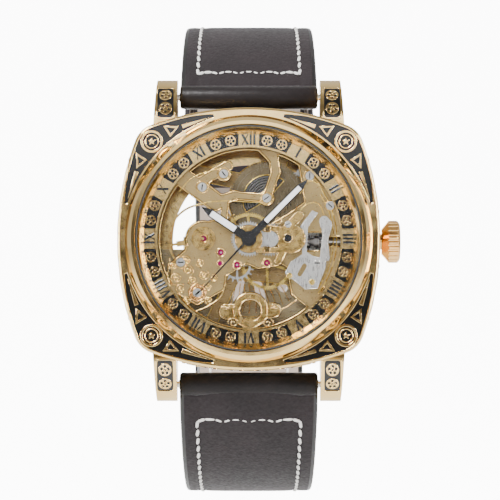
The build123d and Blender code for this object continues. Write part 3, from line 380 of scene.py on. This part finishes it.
def fold(name, spot, radius, width, gap=0.0):
    """The leather rolled round a bar: a ring along X, open at the middle where a tongue sits."""
    spans = [(-width, width)] if not gap else [(-width, -gap), (gap, width)]
    points, faces, sides = [], [], 28
    for left, right in spans:
        first = len(points)
        stations = [(left, radius - 0.5), (left + 0.12, radius - 0.14), (left + 0.5, radius),
                    (right - 0.5, radius), (right - 0.12, radius - 0.14), (right, radius - 0.5),
                    (right, 0.82), (left, 0.82)]
        for x, r in stations:
            points += [(x, spot[0] + r * cos(2 * pi * i / sides), spot[1] + r * sin(2 * pi * i / sides))
                       for i in range(sides)]
        for s in range(len(stations)):
            for i in range(sides):
                j = (i + 1) % sides
                row, after = first + s * sides, first + ((s + 1) % len(stations)) * sides
                faces.append((row + i, after + i, after + j, row + j))
    return mesh_piece(name, points, faces, [FOLD_LEATHER], "watch")


def turn_at(band, z, near):
    """The angle of a band's middle where it passes a height, near a starting angle."""
    return min((near + 0.1 * i for i in range(-300, 300)),
               key=lambda turn: abs(strap_point(band, turn, 0.5, 0)[2] - z))


def stitches(name, band, start, end, inset, side_depth):
    """Two rows of stitches along a strap, near its edges."""
    runs = []
    step = 1.83 / 36.0 * 180 / pi
    count = int(abs(end - start) / step)
    sign = 1 if end > start else -1
    for i in range(count):
        a, b = start + sign * i * step, start + sign * (i + 0.8) * step
        for side in (-1, 1):
            _, y, _ = strap_point(band, a, 0.5, 0)
            x = side * (half_width(y) - inset)
            p = strap_point(band, a, side_depth, x - 0.09 * side)
            q = strap_point(band, b, side_depth, x + 0.09 * side)
            out = Vector(strap_point(band, a, 1, x)) - Vector(strap_point(band, a, 0, x))
            runs.append((p, q, out))
    return capsules(name, runs, 0.21, THREAD, "watch")


def cross_stitches(name, band, turn, inset, count, sag):
    """A row of long stitches across the strap, each a shallow scallop."""
    _, y, _ = strap_point(band, turn, 0.5, 0)
    width = half_width(y) - inset
    runs = []
    for i in range(count):
        left, right = -width + 2 * width * i / count, -width + 2 * width * (i + 1) / count
        corners = [(left + 0.12, 0), (left + (right - left) * 0.3, sag), (left + (right - left) * 0.7, sag),
                   (right - 0.12, 0)]
        for (xa, ta), (xb, tb) in zip(corners, corners[1:]):
            p, q = strap_point(band, turn + ta, 1.03, xa), strap_point(band, turn + tb, 1.03, xb)
            out = Vector(strap_point(band, turn, 1, xa)) - Vector(strap_point(band, turn, 0, xa))
            runs.append((p, q, out))
    return capsules(name, runs, 0.23, THREAD, "watch")


strap_half("strap_short", SHORT, 139.5, 9.0, "strap_upper")
strap_half("strap_long", LONG, 214, 412, "strap_lower", tip=True, steps=210)
fold("fold_12", (-BAR_H, BAR_Z), FOLD_R, 11.65)
fold("fold_6", (-BAR_H, -BAR_Z), FOLD_R, 11.65)
fold("fold_buckle", BUCKLE, 1.88, 10.2, gap=1.55)
SEAM_12, SEAM_6 = turn_at(SHORT, 27.6, 135), turn_at(LONG, -29.6, 222)
stitches("stitch_short", SHORT, SEAM_12, 16, 2.9, 0.985)
stitches("stitch_short_lining", SHORT, SEAM_12, 16, 2.9, 0.03)
stitches("stitch_long", LONG, SEAM_6, 398, 2.9, 0.985)
stitches("stitch_long_lining", LONG, SEAM_6, 398, 2.9, 0.03)
cross_stitches("stitch_cross_12", SHORT, SEAM_12, 2.9, 5, -0.7)
cross_stitches("stitch_cross_6", LONG, SEAM_6, 2.9, 4, -0.7)

# keepers: leather loops round both straps
for keeper, turn in (("keeper_fixed", 26), ("keeper_loose", 42)):
    spot = (22.5 + 30 * cos(radians(turn)), -2 + 40 * sin(radians(turn)))
    lean = atan2(sin(radians(turn)) / 40, cos(radians(turn)) / 30)
    points, faces, looks = [], [], []
    outline = []
    for cx, cy, start in ((11.0, 5.9, 0), (-11.0, 5.9, 90), (-11.0, -1.7, 180), (11.0, -1.7, 270)):
        outline += [(cx, cy, start + 15 * i) for i in range(7)]
    stations = [(-2.5, 0.25), (-2.3, 1.0), (-1.7, 1.2), (0, 1.26),
                (1.7, 1.2), (2.3, 1.0), (2.5, 0.25), (0, 0.1)]
    for along, reach in stations:
        for cx, cy, turned in outline:
            x = cx + reach * cos(radians(turned)) * 0.98
            out = cy + reach * sin(radians(turned)) * 0.98
            points.append((x, spot[0] + out * cos(lean) - along * sin(lean),
                           spot[1] + out * sin(lean) + along * cos(lean)))
    count = len(outline)
    for s in range(len(stations)):
        for i in range(count):
            j, after = (i + 1) % count, (s + 1) % len(stations)
            faces.append((s * count + i, s * count + j, after * count + j, after * count + i))
            looks.append(0 if s < 6 else 1)
    loop = mesh_piece(keeper + "_leather", points, faces, [LEATHER, LINING], "watch", looks)
    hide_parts(keeper)


# ---- engraved case front: gold cover over black lacquer, medallions and stars ----
CASE_H, BULGE, CORNER_AT, CORNER_R = 10.4, 47.0, 14.756, 4.5


def reach(turn):
    """Distance from the centre to the case outline, in a direction in degrees."""
    c, s = abs(cos(radians(turn))), abs(sin(radians(turn)))
    c, s = max(c, s), min(c, s)
    if s / c < 16.32 / 18.98:
        offset = BULGE - 21.9
        return -offset * c + sqrt((offset * c) ** 2 - offset**2 + BULGE**2)
    along = (c + s) * CORNER_AT
    return along + sqrt(along**2 - 2 * CORNER_AT**2 + CORNER_R**2)


def polar(turn, radius):
    return (radius * cos(radians(turn)), radius * sin(radians(turn)))


def rosette(at, radius, turn=0.0, petals=5, pierce=0.15):
    """Outlines of a pierced disc: a rim, a ring of holes and a hole in the middle."""
    loops = [ring_points(radius, at, 40), hole(ring_points(pierce * 0.9 * radius, at, 12))]
    for i in range(petals):
        spot = polar(turn + 360 * i / petals, 0.55 * radius)
        loops.append(hole(ring_points(pierce * 1.35 * radius, (at[0] + spot[0], at[1] + spot[1]), 14)))
    return loops


def star(at, radius, turn=90.0):
    return [(at[0] + polar(turn + 36 * i, radius * (1 if i % 2 == 0 else 0.42))[0],
             at[1] + polar(turn + 36 * i, radius * (1 if i % 2 == 0 else 0.42))[1]) for i in range(10)]


wedges = []
for corner in (45, 135, 225, 315):
    turns = [corner - 29 + 58 * i / 58 for i in range(59)]
    outer, inner = [], []
    for turn in turns:
        share = min(1.0, (29 - abs(turn - corner)) / 9.0)
        inset = 0.62 + 0.25 * (1 - share)
        outer.append(polar(turn, reach(turn) - inset))
        inner.append(polar(turn, 20.92 + 0.12 * (1 - share)))
    wedges.append(outer + list(reversed(inner)))
cover = [polar(2 * i, reach(2 * i) - 0.34) for i in range(180)]
loops = [cover, hole(ring_points(20.5, count=120))] + wedges
plate("case_cover", loops, CASE_H - 0.05, CASE_H + 0.26, GOLD, "watch", 0.08)
floor_edge = [polar(2 * i, reach(2 * i) - 0.5) for i in range(180)]
plate("case_black", [floor_edge, hole(ring_points(20.6, count=120))],
      CASE_H - 0.02, CASE_H + 0.05, LACQUER, "watch", 0.01)
for number, corner in enumerate((45, 135, 225, 315)):
    middle = polar(corner, 22.84)
    rings = [ring_points(1.9, middle), hole(ring_points(1.45, middle)),
             ring_points(1.22, middle), hole(ring_points(0.98, middle))]
    plate(f"medallion_{number}", rings, CASE_H, CASE_H + 0.34, GOLD, "watch", 0.09)
    plate(f"medallion_star_{number}", [star(middle, 0.72)],
          CASE_H, CASE_H + 0.36, GOLD, "watch", 0.05)
    inlay = []
    for side in (-1, 1):
        near, far = corner + side * 7.2, corner + side * 13.2
        inlay.append([polar(near, 21.35), polar(near + side * 0.5, reach(near) - 1.0),
                      polar(far, (reach(far) - 0.9 + 21.2) / 2)])
        inlay.append([polar(near + side * 1.1, 21.75), polar(near + side * 1.2, reach(near) - 1.5),
                      polar(far - side * 1.9, (reach(far) - 0.9 + 21.25) / 2)])
        blade = [polar(far + side * 1.2, (reach(far) - 0.95 + 21.25) / 2)]
        blade += [polar(corner + side * 27, 21.2), polar(far + side * 0.9, 21.35)]
        inlay.append(blade)
    plate(f"wedge_inlay_{number}", inlay, CASE_H, CASE_H + 0.2, GOLD, "watch", 0.04)

# lug tops: a black panel with two pierced rosettes, wrapped over the sloping lug
SLOPE = [(-9.4, 19.6), (-7.9, 24.4), (-4.2, 27.0)]


def circle_through(a, b, c):
    d = 2 * (a[0] * (b[1] - c[1]) + b[0] * (c[1] - a[1]) + c[0] * (a[1] - b[1]))
    squares = [p[0] ** 2 + p[1] ** 2 for p in (a, b, c)]
    x = (squares[0] * (b[1] - c[1]) + squares[1] * (c[1] - a[1]) + squares[2] * (a[1] - b[1])) / d
    y = (squares[0] * (c[0] - b[0]) + squares[1] * (a[0] - c[0]) + squares[2] * (b[0] - a[0])) / d
    return x, y, hypot(a[0] - x, a[1] - y)


SLOPE_Y, SLOPE_Z, SLOPE_R = circle_through(*SLOPE)
SLOPE_START = atan2(SLOPE[0][1] - SLOPE_Z, SLOPE[0][0] - SLOPE_Y)


def over_lug(side):
    """Wraps a flat drawing (x, distance down the slope) over a lug, side 1 at 12 o'clock."""
    def wrap(x, along, height):
        turn = SLOPE_START - along / SLOPE_R
        out = SLOPE_R + height
        return (x, SLOPE_Y + out * cos(turn), side * (SLOPE_Z + out * sin(turn)))
    return wrap


def rounded(width, height, corner, at):
    points = []
    for cx, cy, start in ((1, 1, 0), (-1, 1, 90), (-1, -1, 180), (1, -1, 270)):
        spot = (at[0] + cx * (width / 2 - corner), at[1] + cy * (height / 2 - corner))
        points += [(spot[0] + polar(start + 18 * i, corner)[0], spot[1] + polar(start + 18 * i, corner)[1])
                   for i in range(6)]
    return points


def filled(outline, steps=14):
    """A long outline cut into bands, so that it can bend over a lug."""
    low, high = min(z for _, z in outline), max(z for _, z in outline)
    left, right = min(x for x, _ in outline), max(x for x, _ in outline)
    bands = []
    for i in range(steps):
        a, b = low + (high - low) * i / steps, low + (high - low) * (i + 1) / steps
        bands.append([(left, a), (right, a), (right, b), (left, b)])
    return bands


for number, (side_x, side_z) in enumerate(((-1, 1), (1, 1), (-1, -1), (1, -1))):
    wrap = over_lug(side_z)
    spot = (side_x * 13.95, 3.5)
    plate(f"lug_black_{number}", filled(rounded(2.7, 5.6, 0.4, spot)),
          -0.02, 0.05, LACQUER, "watch", 0.0, wrap)
    plate(f"lug_border_{number}", [rounded(3.3, 6.3, 0.6, spot), hole(rounded(2.6, 5.6, 0.4, spot))],
          -0.05, 0.2, GOLD, "watch", 0.06, wrap)
    pierced = rosette((spot[0], 2.25), 1.08, 90 + 36 * side_z, pierce=0.17)
    pierced += rosette((spot[0], 4.8), 1.08, 90 + 36 * side_z, pierce=0.17)
    plate(f"lug_rosettes_{number}", pierced, 0.0, 0.17, GOLD, "watch", 0.04, wrap)

# engraved side walls: raised gold scroll frames over black panels
for number, turn in enumerate((0, 90, 180, 270)):
    def on_side(u, v, height, base=turn):
        offset = BULGE - 21.9
        angle = u / BULGE
        x, z = (BULGE + height) * cos(angle) - offset, (BULGE + height) * sin(angle)
        c, s = cos(radians(base)), sin(radians(base))
        return (c * x - s * z, -v, s * x + c * z)

    spans = {0: [(-13.5, -4.6), (4.6, 13.5)], 180: [(-13.5, 13.5)]}.get(turn, [(-11.0, 11.0)])
    for part, (start, end) in enumerate(spans):
        middle, length = (start + end) / 2, end - start
        strip = []
        for i in range(12):
            a, b = start + length * i / 12, start + length * (i + 1) / 12
            strip.append([(a, 3.6), (b, 3.6), (b, 8.9), (a, 8.9)])
        plate(f"side_black_{number}_{part}", strip, -0.03, 0.03, LACQUER, "watch", 0.0, on_side)
        bars = [rounded(0.5, 5.3, 0.2, (edge, 6.25)) for edge in (start, end)]
        cells = max(2, round(length / 4.6))
        for i in range(cells):
            bars += rosette((start + length * (i + 0.5) / cells, 6.25), 1.75, 90, pierce=0.2)
            if i:
                bars.append(rounded(0.22, 4.8, 0.1, (start + length * i / cells, 6.25)))
        plate(f"side_relief_{number}_{part}", bars, 0.0, 0.16, GOLD, "watch", 0.04, on_side)

# ---- chapter ring: numerals on the gold plaques, pierced rosettes on the black panels ----
def strokes(name, runs, low, high, look, body):
    """Flat straight strokes as one piece: runs are (start, end, width) in (x, z) millimetres."""
    points, faces = [], []
    for start, end, width in runs:
        along = Vector((end[0] - start[0], end[1] - start[1]))
        across = Vector((-along.y, along.x)).normalized() * width / 2
        first = len(points)
        for height, swell in ((low, 1.0), (high - 0.02, 1.0), (high, 0.7)):
            for p, s in ((start, -1), (end, -1), (end, 1), (start, 1)):
                points.append((p[0] + s * swell * across.x, -height, p[1] + s * swell * across.y))
        for level in (0, 4):
            for i in range(4):
                j = (i + 1) % 4
                row = first + level
                faces.append((row + i, row + j, row + 4 + j, row + 4 + i))
        faces.append((first + 8, first + 9, first + 10, first + 11))
    return mesh_piece(name, points, faces, [look], body, smooth=False)


LETTERS = {"I": 0.62, "V": 1.25, "X": 1.25}


def numeral(text, hour):
    """Strokes of a Roman numeral, its feet towards the centre."""
    width = sum(LETTERS[letter] for letter in text)
    squeeze = min(1.0, 3.0 / width)
    runs, left, low, high = [], -width * squeeze / 2, 15.72, 17.42
    for letter in text:
        span = LETTERS[letter] * squeeze
        a, b, m = left + 0.1 * squeeze, left + span - 0.1 * squeeze, left + span / 2
        thick, thin = 0.38 * squeeze, 0.2 * squeeze
        if letter == "I":
            runs.append(((m, low), (m, high), thick))
            edges = [(m - 0.2 * squeeze, m + 0.2 * squeeze)]
            rows = (low, high)
        elif letter == "V":
            runs += [((a + 0.08, high), (m, low), thick), ((b - 0.08, high), (m, low), thin)]
            edges = [(a - 0.06, a + 0.24), (b - 0.24, b + 0.06)]
            rows = (high,)
        else:
            runs += [((a + 0.06, high), (b - 0.06, low), thick), ((b - 0.06, high), (a + 0.06, low), thin)]
            edges = [(a - 0.06, a + 0.24), (b - 0.24, b + 0.06)]
            rows = (low, high)
        runs += [((p, row), (q, row), 0.09) for p, q in edges for row in rows]
        left += span
    turn = radians(-30 * hour)
    c, s = cos(turn), sin(turn)
    return [((c * p[0] - s * p[1], s * p[0] + c * p[1]), (c * q[0] - s * q[1], s * q[0] + c * q[1]), width)
            for p, q, width in runs]


marks = []
for hour, text in enumerate(("XII", "I", "II", "III", "IIII", "V", "VI", "VII", "VIII", "IX", "X", "XI")):
    marks += numeral(text, hour)
strokes("numerals", marks, 9.33, 9.40, HAND_BLACK, "watch")
pierced = []
for hour in range(12):
    for side in (-4.4, 4.4):
        turn = 75 - 30 * hour + side
        pierced += rosette(polar(turn, 16.66), 0.9, turn + 36, pierce=0.19)
plate("chapter_rosettes", pierced, 9.31, 9.42, GOLD, "watch", 0.03)
edge_rings = []
for hour in range(12):
    a, b = 75 - 30 * hour - 8.7, 75 - 30 * hour + 8.7
    for radius, wide in ((17.72, 0.06), (15.58, 0.08)):
        edge_rings.append(arc_band(radius, wide, a, b, 14))
plate("chapter_fillets", edge_rings, 9.31, 9.39, GOLD, "watch", 0.02)


# ---- movement: raised borders, scrollwork, jewel settings and ornate rings ----
def wires(name, paths, radius, look, body="watch"):
    """Raised beads along open or closed lines: paths are (points in (x, z), height, closed)."""
    curve = bpy.data.curves.new(name, "CURVE")
    curve.dimensions = "3D"
    curve.bevel_depth = radius * MM
    curve.bevel_resolution = 1
    curve.use_fill_caps = True
    for line, height, closed in paths:
        spline = curve.splines.new("POLY")
        spline.points.add(len(line) - 1)
        for point, (x, z) in zip(spline.points, line):
            point.co = (x * MM, -height * MM, z * MM, 1)
        spline.use_cyclic_u = closed
    source = bpy.data.objects.new(name + ".source", curve)
    mesh = bpy.data.meshes.new_from_object(source)
    bpy.data.objects.remove(source)
    mesh.name = name
    mesh.materials.clear()
    mesh.materials.append(look)
    for polygon in mesh.polygons:
        polygon.use_smooth = True
    piece = bpy.data.objects.new(name, mesh)
    bpy.context.scene.collection.objects.link(piece)
    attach(piece, body)
    return piece


def soft(points, steps=8, closed=False):
    """A smooth line through a few points."""
    count = len(points)
    pick = (lambda i: points[i % count]) if closed else (lambda i: points[max(0, min(count - 1, i))])
    line = []
    for i in range(count if closed else count - 1):
        a, b, c, d = (pick(i + k) for k in (-1, 0, 1, 2))
        for step in range(steps):
            t = step / steps
            line.append(tuple(0.5 * (2 * b[k] + (c[k] - a[k]) * t
                                     + (2 * a[k] - 5 * b[k] + 4 * c[k] - d[k]) * t**2
                                     + (3 * b[k] - a[k] - 3 * c[k] + d[k]) * t**3) for k in (0, 1)))
    return line if closed else line + [points[-1]]


def scroll(at, radius, start, turns=1.6, hand=1):
    """A spiral that opens from its eye."""
    steps = int(26 * turns)
    line = []
    for i in range(steps + 1):
        spot = polar(start + hand * 360 * turns * i / steps, radius * (0.12 + 0.88 * i / steps))
        line.append((at[0] + spot[0], at[1] + spot[1]))
    return line


PLATE_H = 8.03
# filigree over the lower left bridge
FILIGREE = [((-12.1, -6.6), 1.15, 40, 1), ((-10.2, -5.2), 0.95, 200, -1), ((-9.4, -6.9), 0.85, 90, 1),
            ((-11.4, -8.4), 0.9, 300, -1), ((-7.6, -6.0), 0.95, 160, 1), ((-6.9, -8.0), 0.8, 20, -1),
            ((-10.5, -3.6), 0.8, 250, 1), ((-8.2, -3.9), 0.75, 100, -1), ((-5.9, -6.6), 0.7, 220, 1),
            ((-6.7, -10.2), 0.75, 60, 1), ((-10.4, -10.2), 0.7, 150, -1), ((-12.6, -4.6), 0.7, 330, 1)]
paths = [(scroll(at, radius, start, 1.7, hand), PLATE_H, False) for at, radius, start, hand in FILIGREE]
paths += [(soft([(-13.2, -3.2), (-13.6, -5.8), (-12.9, -8.6), (-11.2, -10.8), (-8.9, -12.1)]),
           PLATE_H, False),
          (soft([(-8.9, -12.1), (-6.6, -11.1), (-4.7, -9.6), (-3.9, -7.4)]), PLATE_H, False)]
wires("filigree", paths, 0.13, GOLD_WARM)
wires("filigree_fine", [(scroll(at, radius * 0.55, start + 90, 1.2, -hand), PLATE_H + 0.02, False)
                        for at, radius, start, hand in FILIGREE], 0.08, BRASS)

# gold borders of the plate on the right and of the arm at the top
borders = [(arc_points(14.7, -38, 34, 40), PLATE_H, False), (arc_points(14.15, -36, 32, 40), PLATE_H, False),
           (soft([(8.0, 3.9), (9.6, 5.8), (11.6, 5.9), (12.6, 4.0)]), PLATE_H, False),
           (soft([(8.6, 7.6), (9.6, 9.8), (11.6, 9.2), (12.9, 7.0)]), PLATE_H, False)]
wires("plate_borders", borders, 0.12, BRASS)
paths = []
for at, radius in (((3.0, 6.85), 0.95), ((-7.8, 8.7), 1.0), ((-4.2, 10.93), 1.0), ((-11.4, -3.9), 0.95),
                   ((10.2, 10.6), 0.95), ((13.6, 5.6), 0.8)):
    paths.append((ring_points(radius, at, 32), PLATE_H, True))
wires("screw_rings", paths, 0.11, GOLD_WARM)
arm = [(soft([(-11.6, 8.0), (-9.6, 10.2), (-6.6, 11.4), (-3.9, 12.0)]), PLATE_H, False),
       (soft([(-9.2, 5.6), (-6.6, 6.2), (-3.6, 6.4), (0.2, 6.2), (2.2, 6.1)]), PLATE_H, False)]
wires("arm_borders", arm, 0.1, BRASS)

# jewel settings: polished gold rings round the rubies, one with an ornate orange ring
SETTINGS = [((-7.58, 0.07), 0.95), ((-4.68, -2.25), 0.72), ((-1.97, -4.32), 0.72), ((3.05, -3.98), 0.8)]
wires("jewel_settings", [(ring_points(radius, at, 36), 8.06, True) for at, radius in SETTINGS], 0.13, GOLD)
ORNATE = (-8.6, -9.0)
wires("ornate_ring", [(ring_points(1.35, ORNATE, 40), 8.1, True),
                      (ring_points(0.85, ORNATE, 32), 8.12, True)], 0.16, CROWN_GOLD)
beads = [ring_points(0.17, spot, 10) for spot in ring_points(1.1, ORNATE, 12)]
plate("ornate_beads", beads, 8.0, 8.22, CROWN_GOLD, "watch", 0.05)

# scroll ornament below the ring bridge, and its bordered ring
ornament = [(scroll((-2.6, -14.0), 0.95, 10, 1.5, 1), 8.46, False),
            (scroll((3.15, -14.0), 0.95, 170, 1.5, -1), 8.46, False),
            (scroll((-3.9, -11.4), 0.65, 120, 1.4, -1), 8.42, False),
            (scroll((4.4, -11.4), 0.65, 60, 1.4, 1), 8.42, False)]
wires("ring_scrolls", ornament, 0.12, GOLD)
RING_BOSS = (0.27, -11.93)
wires("ring_edges", [(ring_points(2.85, RING_BOSS, 48), 8.34, True),
                     (ring_points(1.9, RING_BOSS, 40), 8.34, True)], 0.11, GOLD)

# square posts beside the centre
posts = [rounded(1.0, 1.0, 0.12, spot) for spot in ((3.15, 1.55), (3.07, -1.8))]
plate("square_posts", posts, 8.9, 9.3, GOLD, "watch", 0.06)

# engraved rays and rings on the winding rotor
rays = []
for i in range(-14, 15):
    turn = 270 + 5.6 * i
    rays.append(([polar(turn, 7.4), polar(turn + 1.6, 10.0), polar(turn, 12.4)], 3.03, False))
rays += [(arc_points(12.9, 190, 350, 50), 3.03, False), (arc_points(6.9, 200, 340, 40), 3.03, False)]
wires("rotor_engraving", rays, 0.09, GOLD_WARM, "rotor")


def front_outlines(node, height, shortest=2.0):
    """Closed outlines of a CAD node's flat front face at a height, in (x, z) millimetres."""
    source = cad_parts[node]
    spots = [source.matrix_world @ vertex.co / MM for vertex in source.data.vertices]
    keys = [(round(p.x, 2), round(p.z, 2)) for p in spots]
    level = [abs(p.y + height) < 0.02 for p in spots]
    uses = {}
    for polygon in source.data.polygons:
        if not all(level[i] for i in polygon.vertices):
            continue
        corners = [keys[i] for i in polygon.vertices]
        for a, b in zip(corners, corners[1:] + corners[:1]):
            if a != b:
                uses.setdefault(frozenset((a, b)), []).append((a, b))
    after = {}
    for found in uses.values():
        if len(found) == 1:
            after.setdefault(found[0][0], []).append(found[0][1])
    outlines = []
    while after:
        start = min(after)
        line, here = [start], start
        while here in after:
            following = after[here].pop()
            if not after[here]:
                del after[here]
            if following == start:
                break
            line.append(following)
            here = following
        length = sum(hypot(b[0] - a[0], b[1] - a[1]) for a, b in zip(line, line[1:]))
        if len(line) > 3 and length > shortest:
            outlines.append(line)
    return outlines


for node, height, radius, look in (("main_plate", 8.0, 0.13, GOLD_WARM), ("motion_bridge", 9.02, 0.09, GOLD),
                                   ("ring_bridge", 8.3, 0.1, GOLD), ("setting_cover", 8.72, 0.07, STEEL),
                                   ("barrel_bridge", 4.43, 0.1, BRASS), ("train_bridge", 4.43, 0.1, BRASS)):
    outlines = front_outlines(node, height)
    if outlines:
        wires(node + "_edging", [(line, height, True) for line in outlines], radius, look, "watch")


# painted shade under the beads: dark wires that set the openwork off
PAINTED_SHADE_BRONZE = metal("bronze_shade", (0.075, 0.05, 0.022), (0.03, 0.02, 0.01), 0.38, 900, relief=0.05)
for node, height, radius in (("main_plate", 8.0, 0.24), ("motion_bridge", 9.02, 0.16),
                             ("ring_bridge", 8.3, 0.2)):
    shade = [(line, height - 0.13, True) for line in front_outlines(node, height)]
    if shade:
        wires(node + "_shade", shade, radius, PAINTED_SHADE_BRONZE)

# painted shade of the screw slots (black strokes), screws of the keyless cover, and small jewels
SCREWS = [(3.0, 6.85), (-7.8, 8.7), (-4.2, 10.93), (-11.4, -3.9), (-8.6, -9.0), (10.2, 10.6), (13.6, 5.6)]
slots = []
for index, (x, z) in enumerate(SCREWS):
    lean = polar(35 + 47 * index, 0.5)
    slots.append(((x - lean[0], z - lean[1]), (x + lean[0], z + lean[1]), 0.2))
# painted shade: black strokes stand for the shadowed slots of the screws
strokes("screw_slot_shade", slots, 8.28, 8.32, HAND_BLACK, "watch")
COVER_SCREWS = [((6.78, -6.15), 0.5), ((10.52, -7.23), 0.5)]
plate("cover_screws", [ring_points(radius, at, 28) for at, radius in COVER_SCREWS],
      8.7, 8.95, BRASS, "watch", 0.08)
plate("cover_pivot", [ring_points(0.62, (11.42, -4.07), 28)], 8.7, 8.98, STEEL, "watch", 0.08)
plate("bridge_screw", [ring_points(0.55, (6.53, 2.43), 28)], 9.0, 9.2, STEEL, "watch", 0.07)
# painted shade: black strokes stand for the shadowed slots of the cover pivot and the bridge screw
strokes("cover_slot_shade", [((10.95, -4.07), (11.9, -4.07), 0.2), ((6.1, 2.2), (6.95, 2.65), 0.16)], 8.96, 9.22,
        HAND_BLACK, "watch")
wires("pinion_holes", [(ring_points(0.72, (6.53, 0.1), 30), 9.04, True),
                       (ring_points(0.5, (4.95, 3.0), 26), 9.04, True)], 0.1, GOLD)
plate("pinion_shade", [ring_points(0.66, (6.53, 0.1), 28)], 9.02, 9.05, HAND_BLACK, "watch", 0.01)
SMALL_JEWELS = [(-4.8, -4.07), (5.4, -2.77)]
plate("small_jewels", [ring_points(0.36, at, 24) for at in SMALL_JEWELS],
      7.98, 8.1, RUBY, "watch", 0.03)
wires("small_settings", [(ring_points(0.5, at, 26), 8.05, True) for at in SMALL_JEWELS], 0.1, GOLD)

# the mainspring's coils, seen through the window of the barrel cover
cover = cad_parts["barrel_cover"]
COVER_TOP = max(-(cover.matrix_world @ vertex.co).y for vertex in cover.data.vertices) / MM
BARREL = (3.2, 6.7)
coils = [arc_band(1.75 + 0.42 * i, 0.22, 55, 205, 30, BARREL) for i in range(6)]
# painted shade: a black sheet behind the coils stands for the dark depth of the barrel
plate("coil_window", [arc_band(2.8, 2.7, 50, 210, 40, BARREL)],
      COVER_TOP - 0.02, COVER_TOP + 0.03, HAND_BLACK, "barrel", 0.01)
plate("coil_bands", coils, COVER_TOP, COVER_TOP + 0.06, STEEL_DARK, "barrel", 0.02)
wires("coil_rim", [(arc_band(2.8, 2.8, 50, 210, 40, BARREL), COVER_TOP + 0.03, True)], 0.09, BRASS, "barrel")


# ---- camera, light and floor ----
CAMERA_REACH, CAMERA_TILT, FRAME_MM = 400.0, -2.5, 83.3
AIM = (0.2, -9.5, -1.9)

camera_data = bpy.data.cameras.new("camera")
camera_data.sensor_width = 36
camera_data.lens = 36 * CAMERA_REACH / FRAME_MM
camera_data.clip_start, camera_data.clip_end = 0.01, 20
camera = bpy.data.objects.new("camera", camera_data)
bpy.context.scene.collection.objects.link(camera)
tilt = radians(CAMERA_TILT)
aim = Vector(AIM) * MM
camera.location = aim + CAMERA_REACH * MM * Vector((0, -cos(tilt), sin(tilt)))
camera.rotation_mode = "QUATERNION"
camera.rotation_quaternion = (aim - camera.location).to_track_quat("-Z", "Y")
bpy.context.scene.camera = camera


def softbox(name, spot, size, energy, colour=(1, 1, 1)):
    """An area light aimed at the watch."""
    light = bpy.data.lights.new(name, "AREA")
    light.shape = "RECTANGLE"
    light.size, light.size_y = size
    light.energy, light.color = energy, colour
    lamp = bpy.data.objects.new(name, light)
    lamp.location = spot
    lamp.rotation_mode = "QUATERNION"
    lamp.rotation_quaternion = (aim - lamp.location).to_track_quat("-Z", "Y")
    bpy.context.scene.collection.objects.link(lamp)


softbox("key", (-0.30, -0.50, 0.50), (0.30, 0.22), 13.0)
softbox("strip_right", (0.50, -0.30, 0.10), (0.06, 0.50), 5.0)
softbox("strip_left", (-0.50, -0.16, -0.05), (0.06, 0.45), 4.0)
softbox("front", (-0.03, -0.62, 0.13), (0.26, 0.13), 0.35)
softbox("under", (0.05, -0.42, -0.36), (0.40, 0.06), 3.0, (1.0, 0.96, 0.9))

world = bpy.data.worlds.new("studio")
world.use_nodes = True
bpy.context.scene.world = world
nodes, links = world.node_tree.nodes, world.node_tree.links
where = nodes.new("ShaderNodeTexCoord")
split = nodes.new("ShaderNodeSeparateXYZ")
links.new(where.outputs["Generated"], split.inputs["Vector"])
tone = nodes.new("ShaderNodeValToRGB")
tone.color_ramp.elements[0].position, tone.color_ramp.elements[0].color = 0.12, (0.14, 0.13, 0.12, 1)
tone.color_ramp.elements[1].position, tone.color_ramp.elements[1].color = 0.75, (1, 1, 1, 1)
shift = nodes.new("ShaderNodeMath")
shift.operation = "MULTIPLY_ADD"
shift.inputs[1].default_value, shift.inputs[2].default_value = 0.5, 0.5
links.new(split.outputs["Y"], shift.inputs[0])
links.new(shift.outputs["Value"], tone.inputs["Fac"])
links.new(tone.outputs["Color"], nodes["Background"].inputs["Color"])
nodes["Background"].inputs["Strength"].default_value = 0.9


def backdrop(name, corners, colour, glow):
    """A plain studio surface."""
    mesh = bpy.data.meshes.new(name)
    mesh.from_pydata(corners, [], [tuple(range(len(corners)))])
    material, _, _, principled = shader(name)
    principled.inputs["Base Color"].default_value = (*colour, 1)
    principled.inputs["Roughness"].default_value = 0.9
    principled.inputs["Emission Color"].default_value = (1, 1, 1, 1)
    principled.inputs["Emission Strength"].default_value = glow
    mesh.materials.append(material)
    surface = bpy.data.objects.new(name, mesh)
    bpy.context.scene.collection.objects.link(surface)


backdrop("floor", [(-3, -3, -0.12), (3, -3, -0.12), (3, 3, -0.12), (-3, 3, -0.12)], (0.86, 0.86, 0.85), 0.1)

backdrop("backdrop", [(-0.16, 0.5, -0.16), (0.16, 0.5, -0.16), (0.16, 0.5, 0.20), (-0.16, 0.5, 0.20)],
         (0.9, 0.9, 0.9), 9.0)
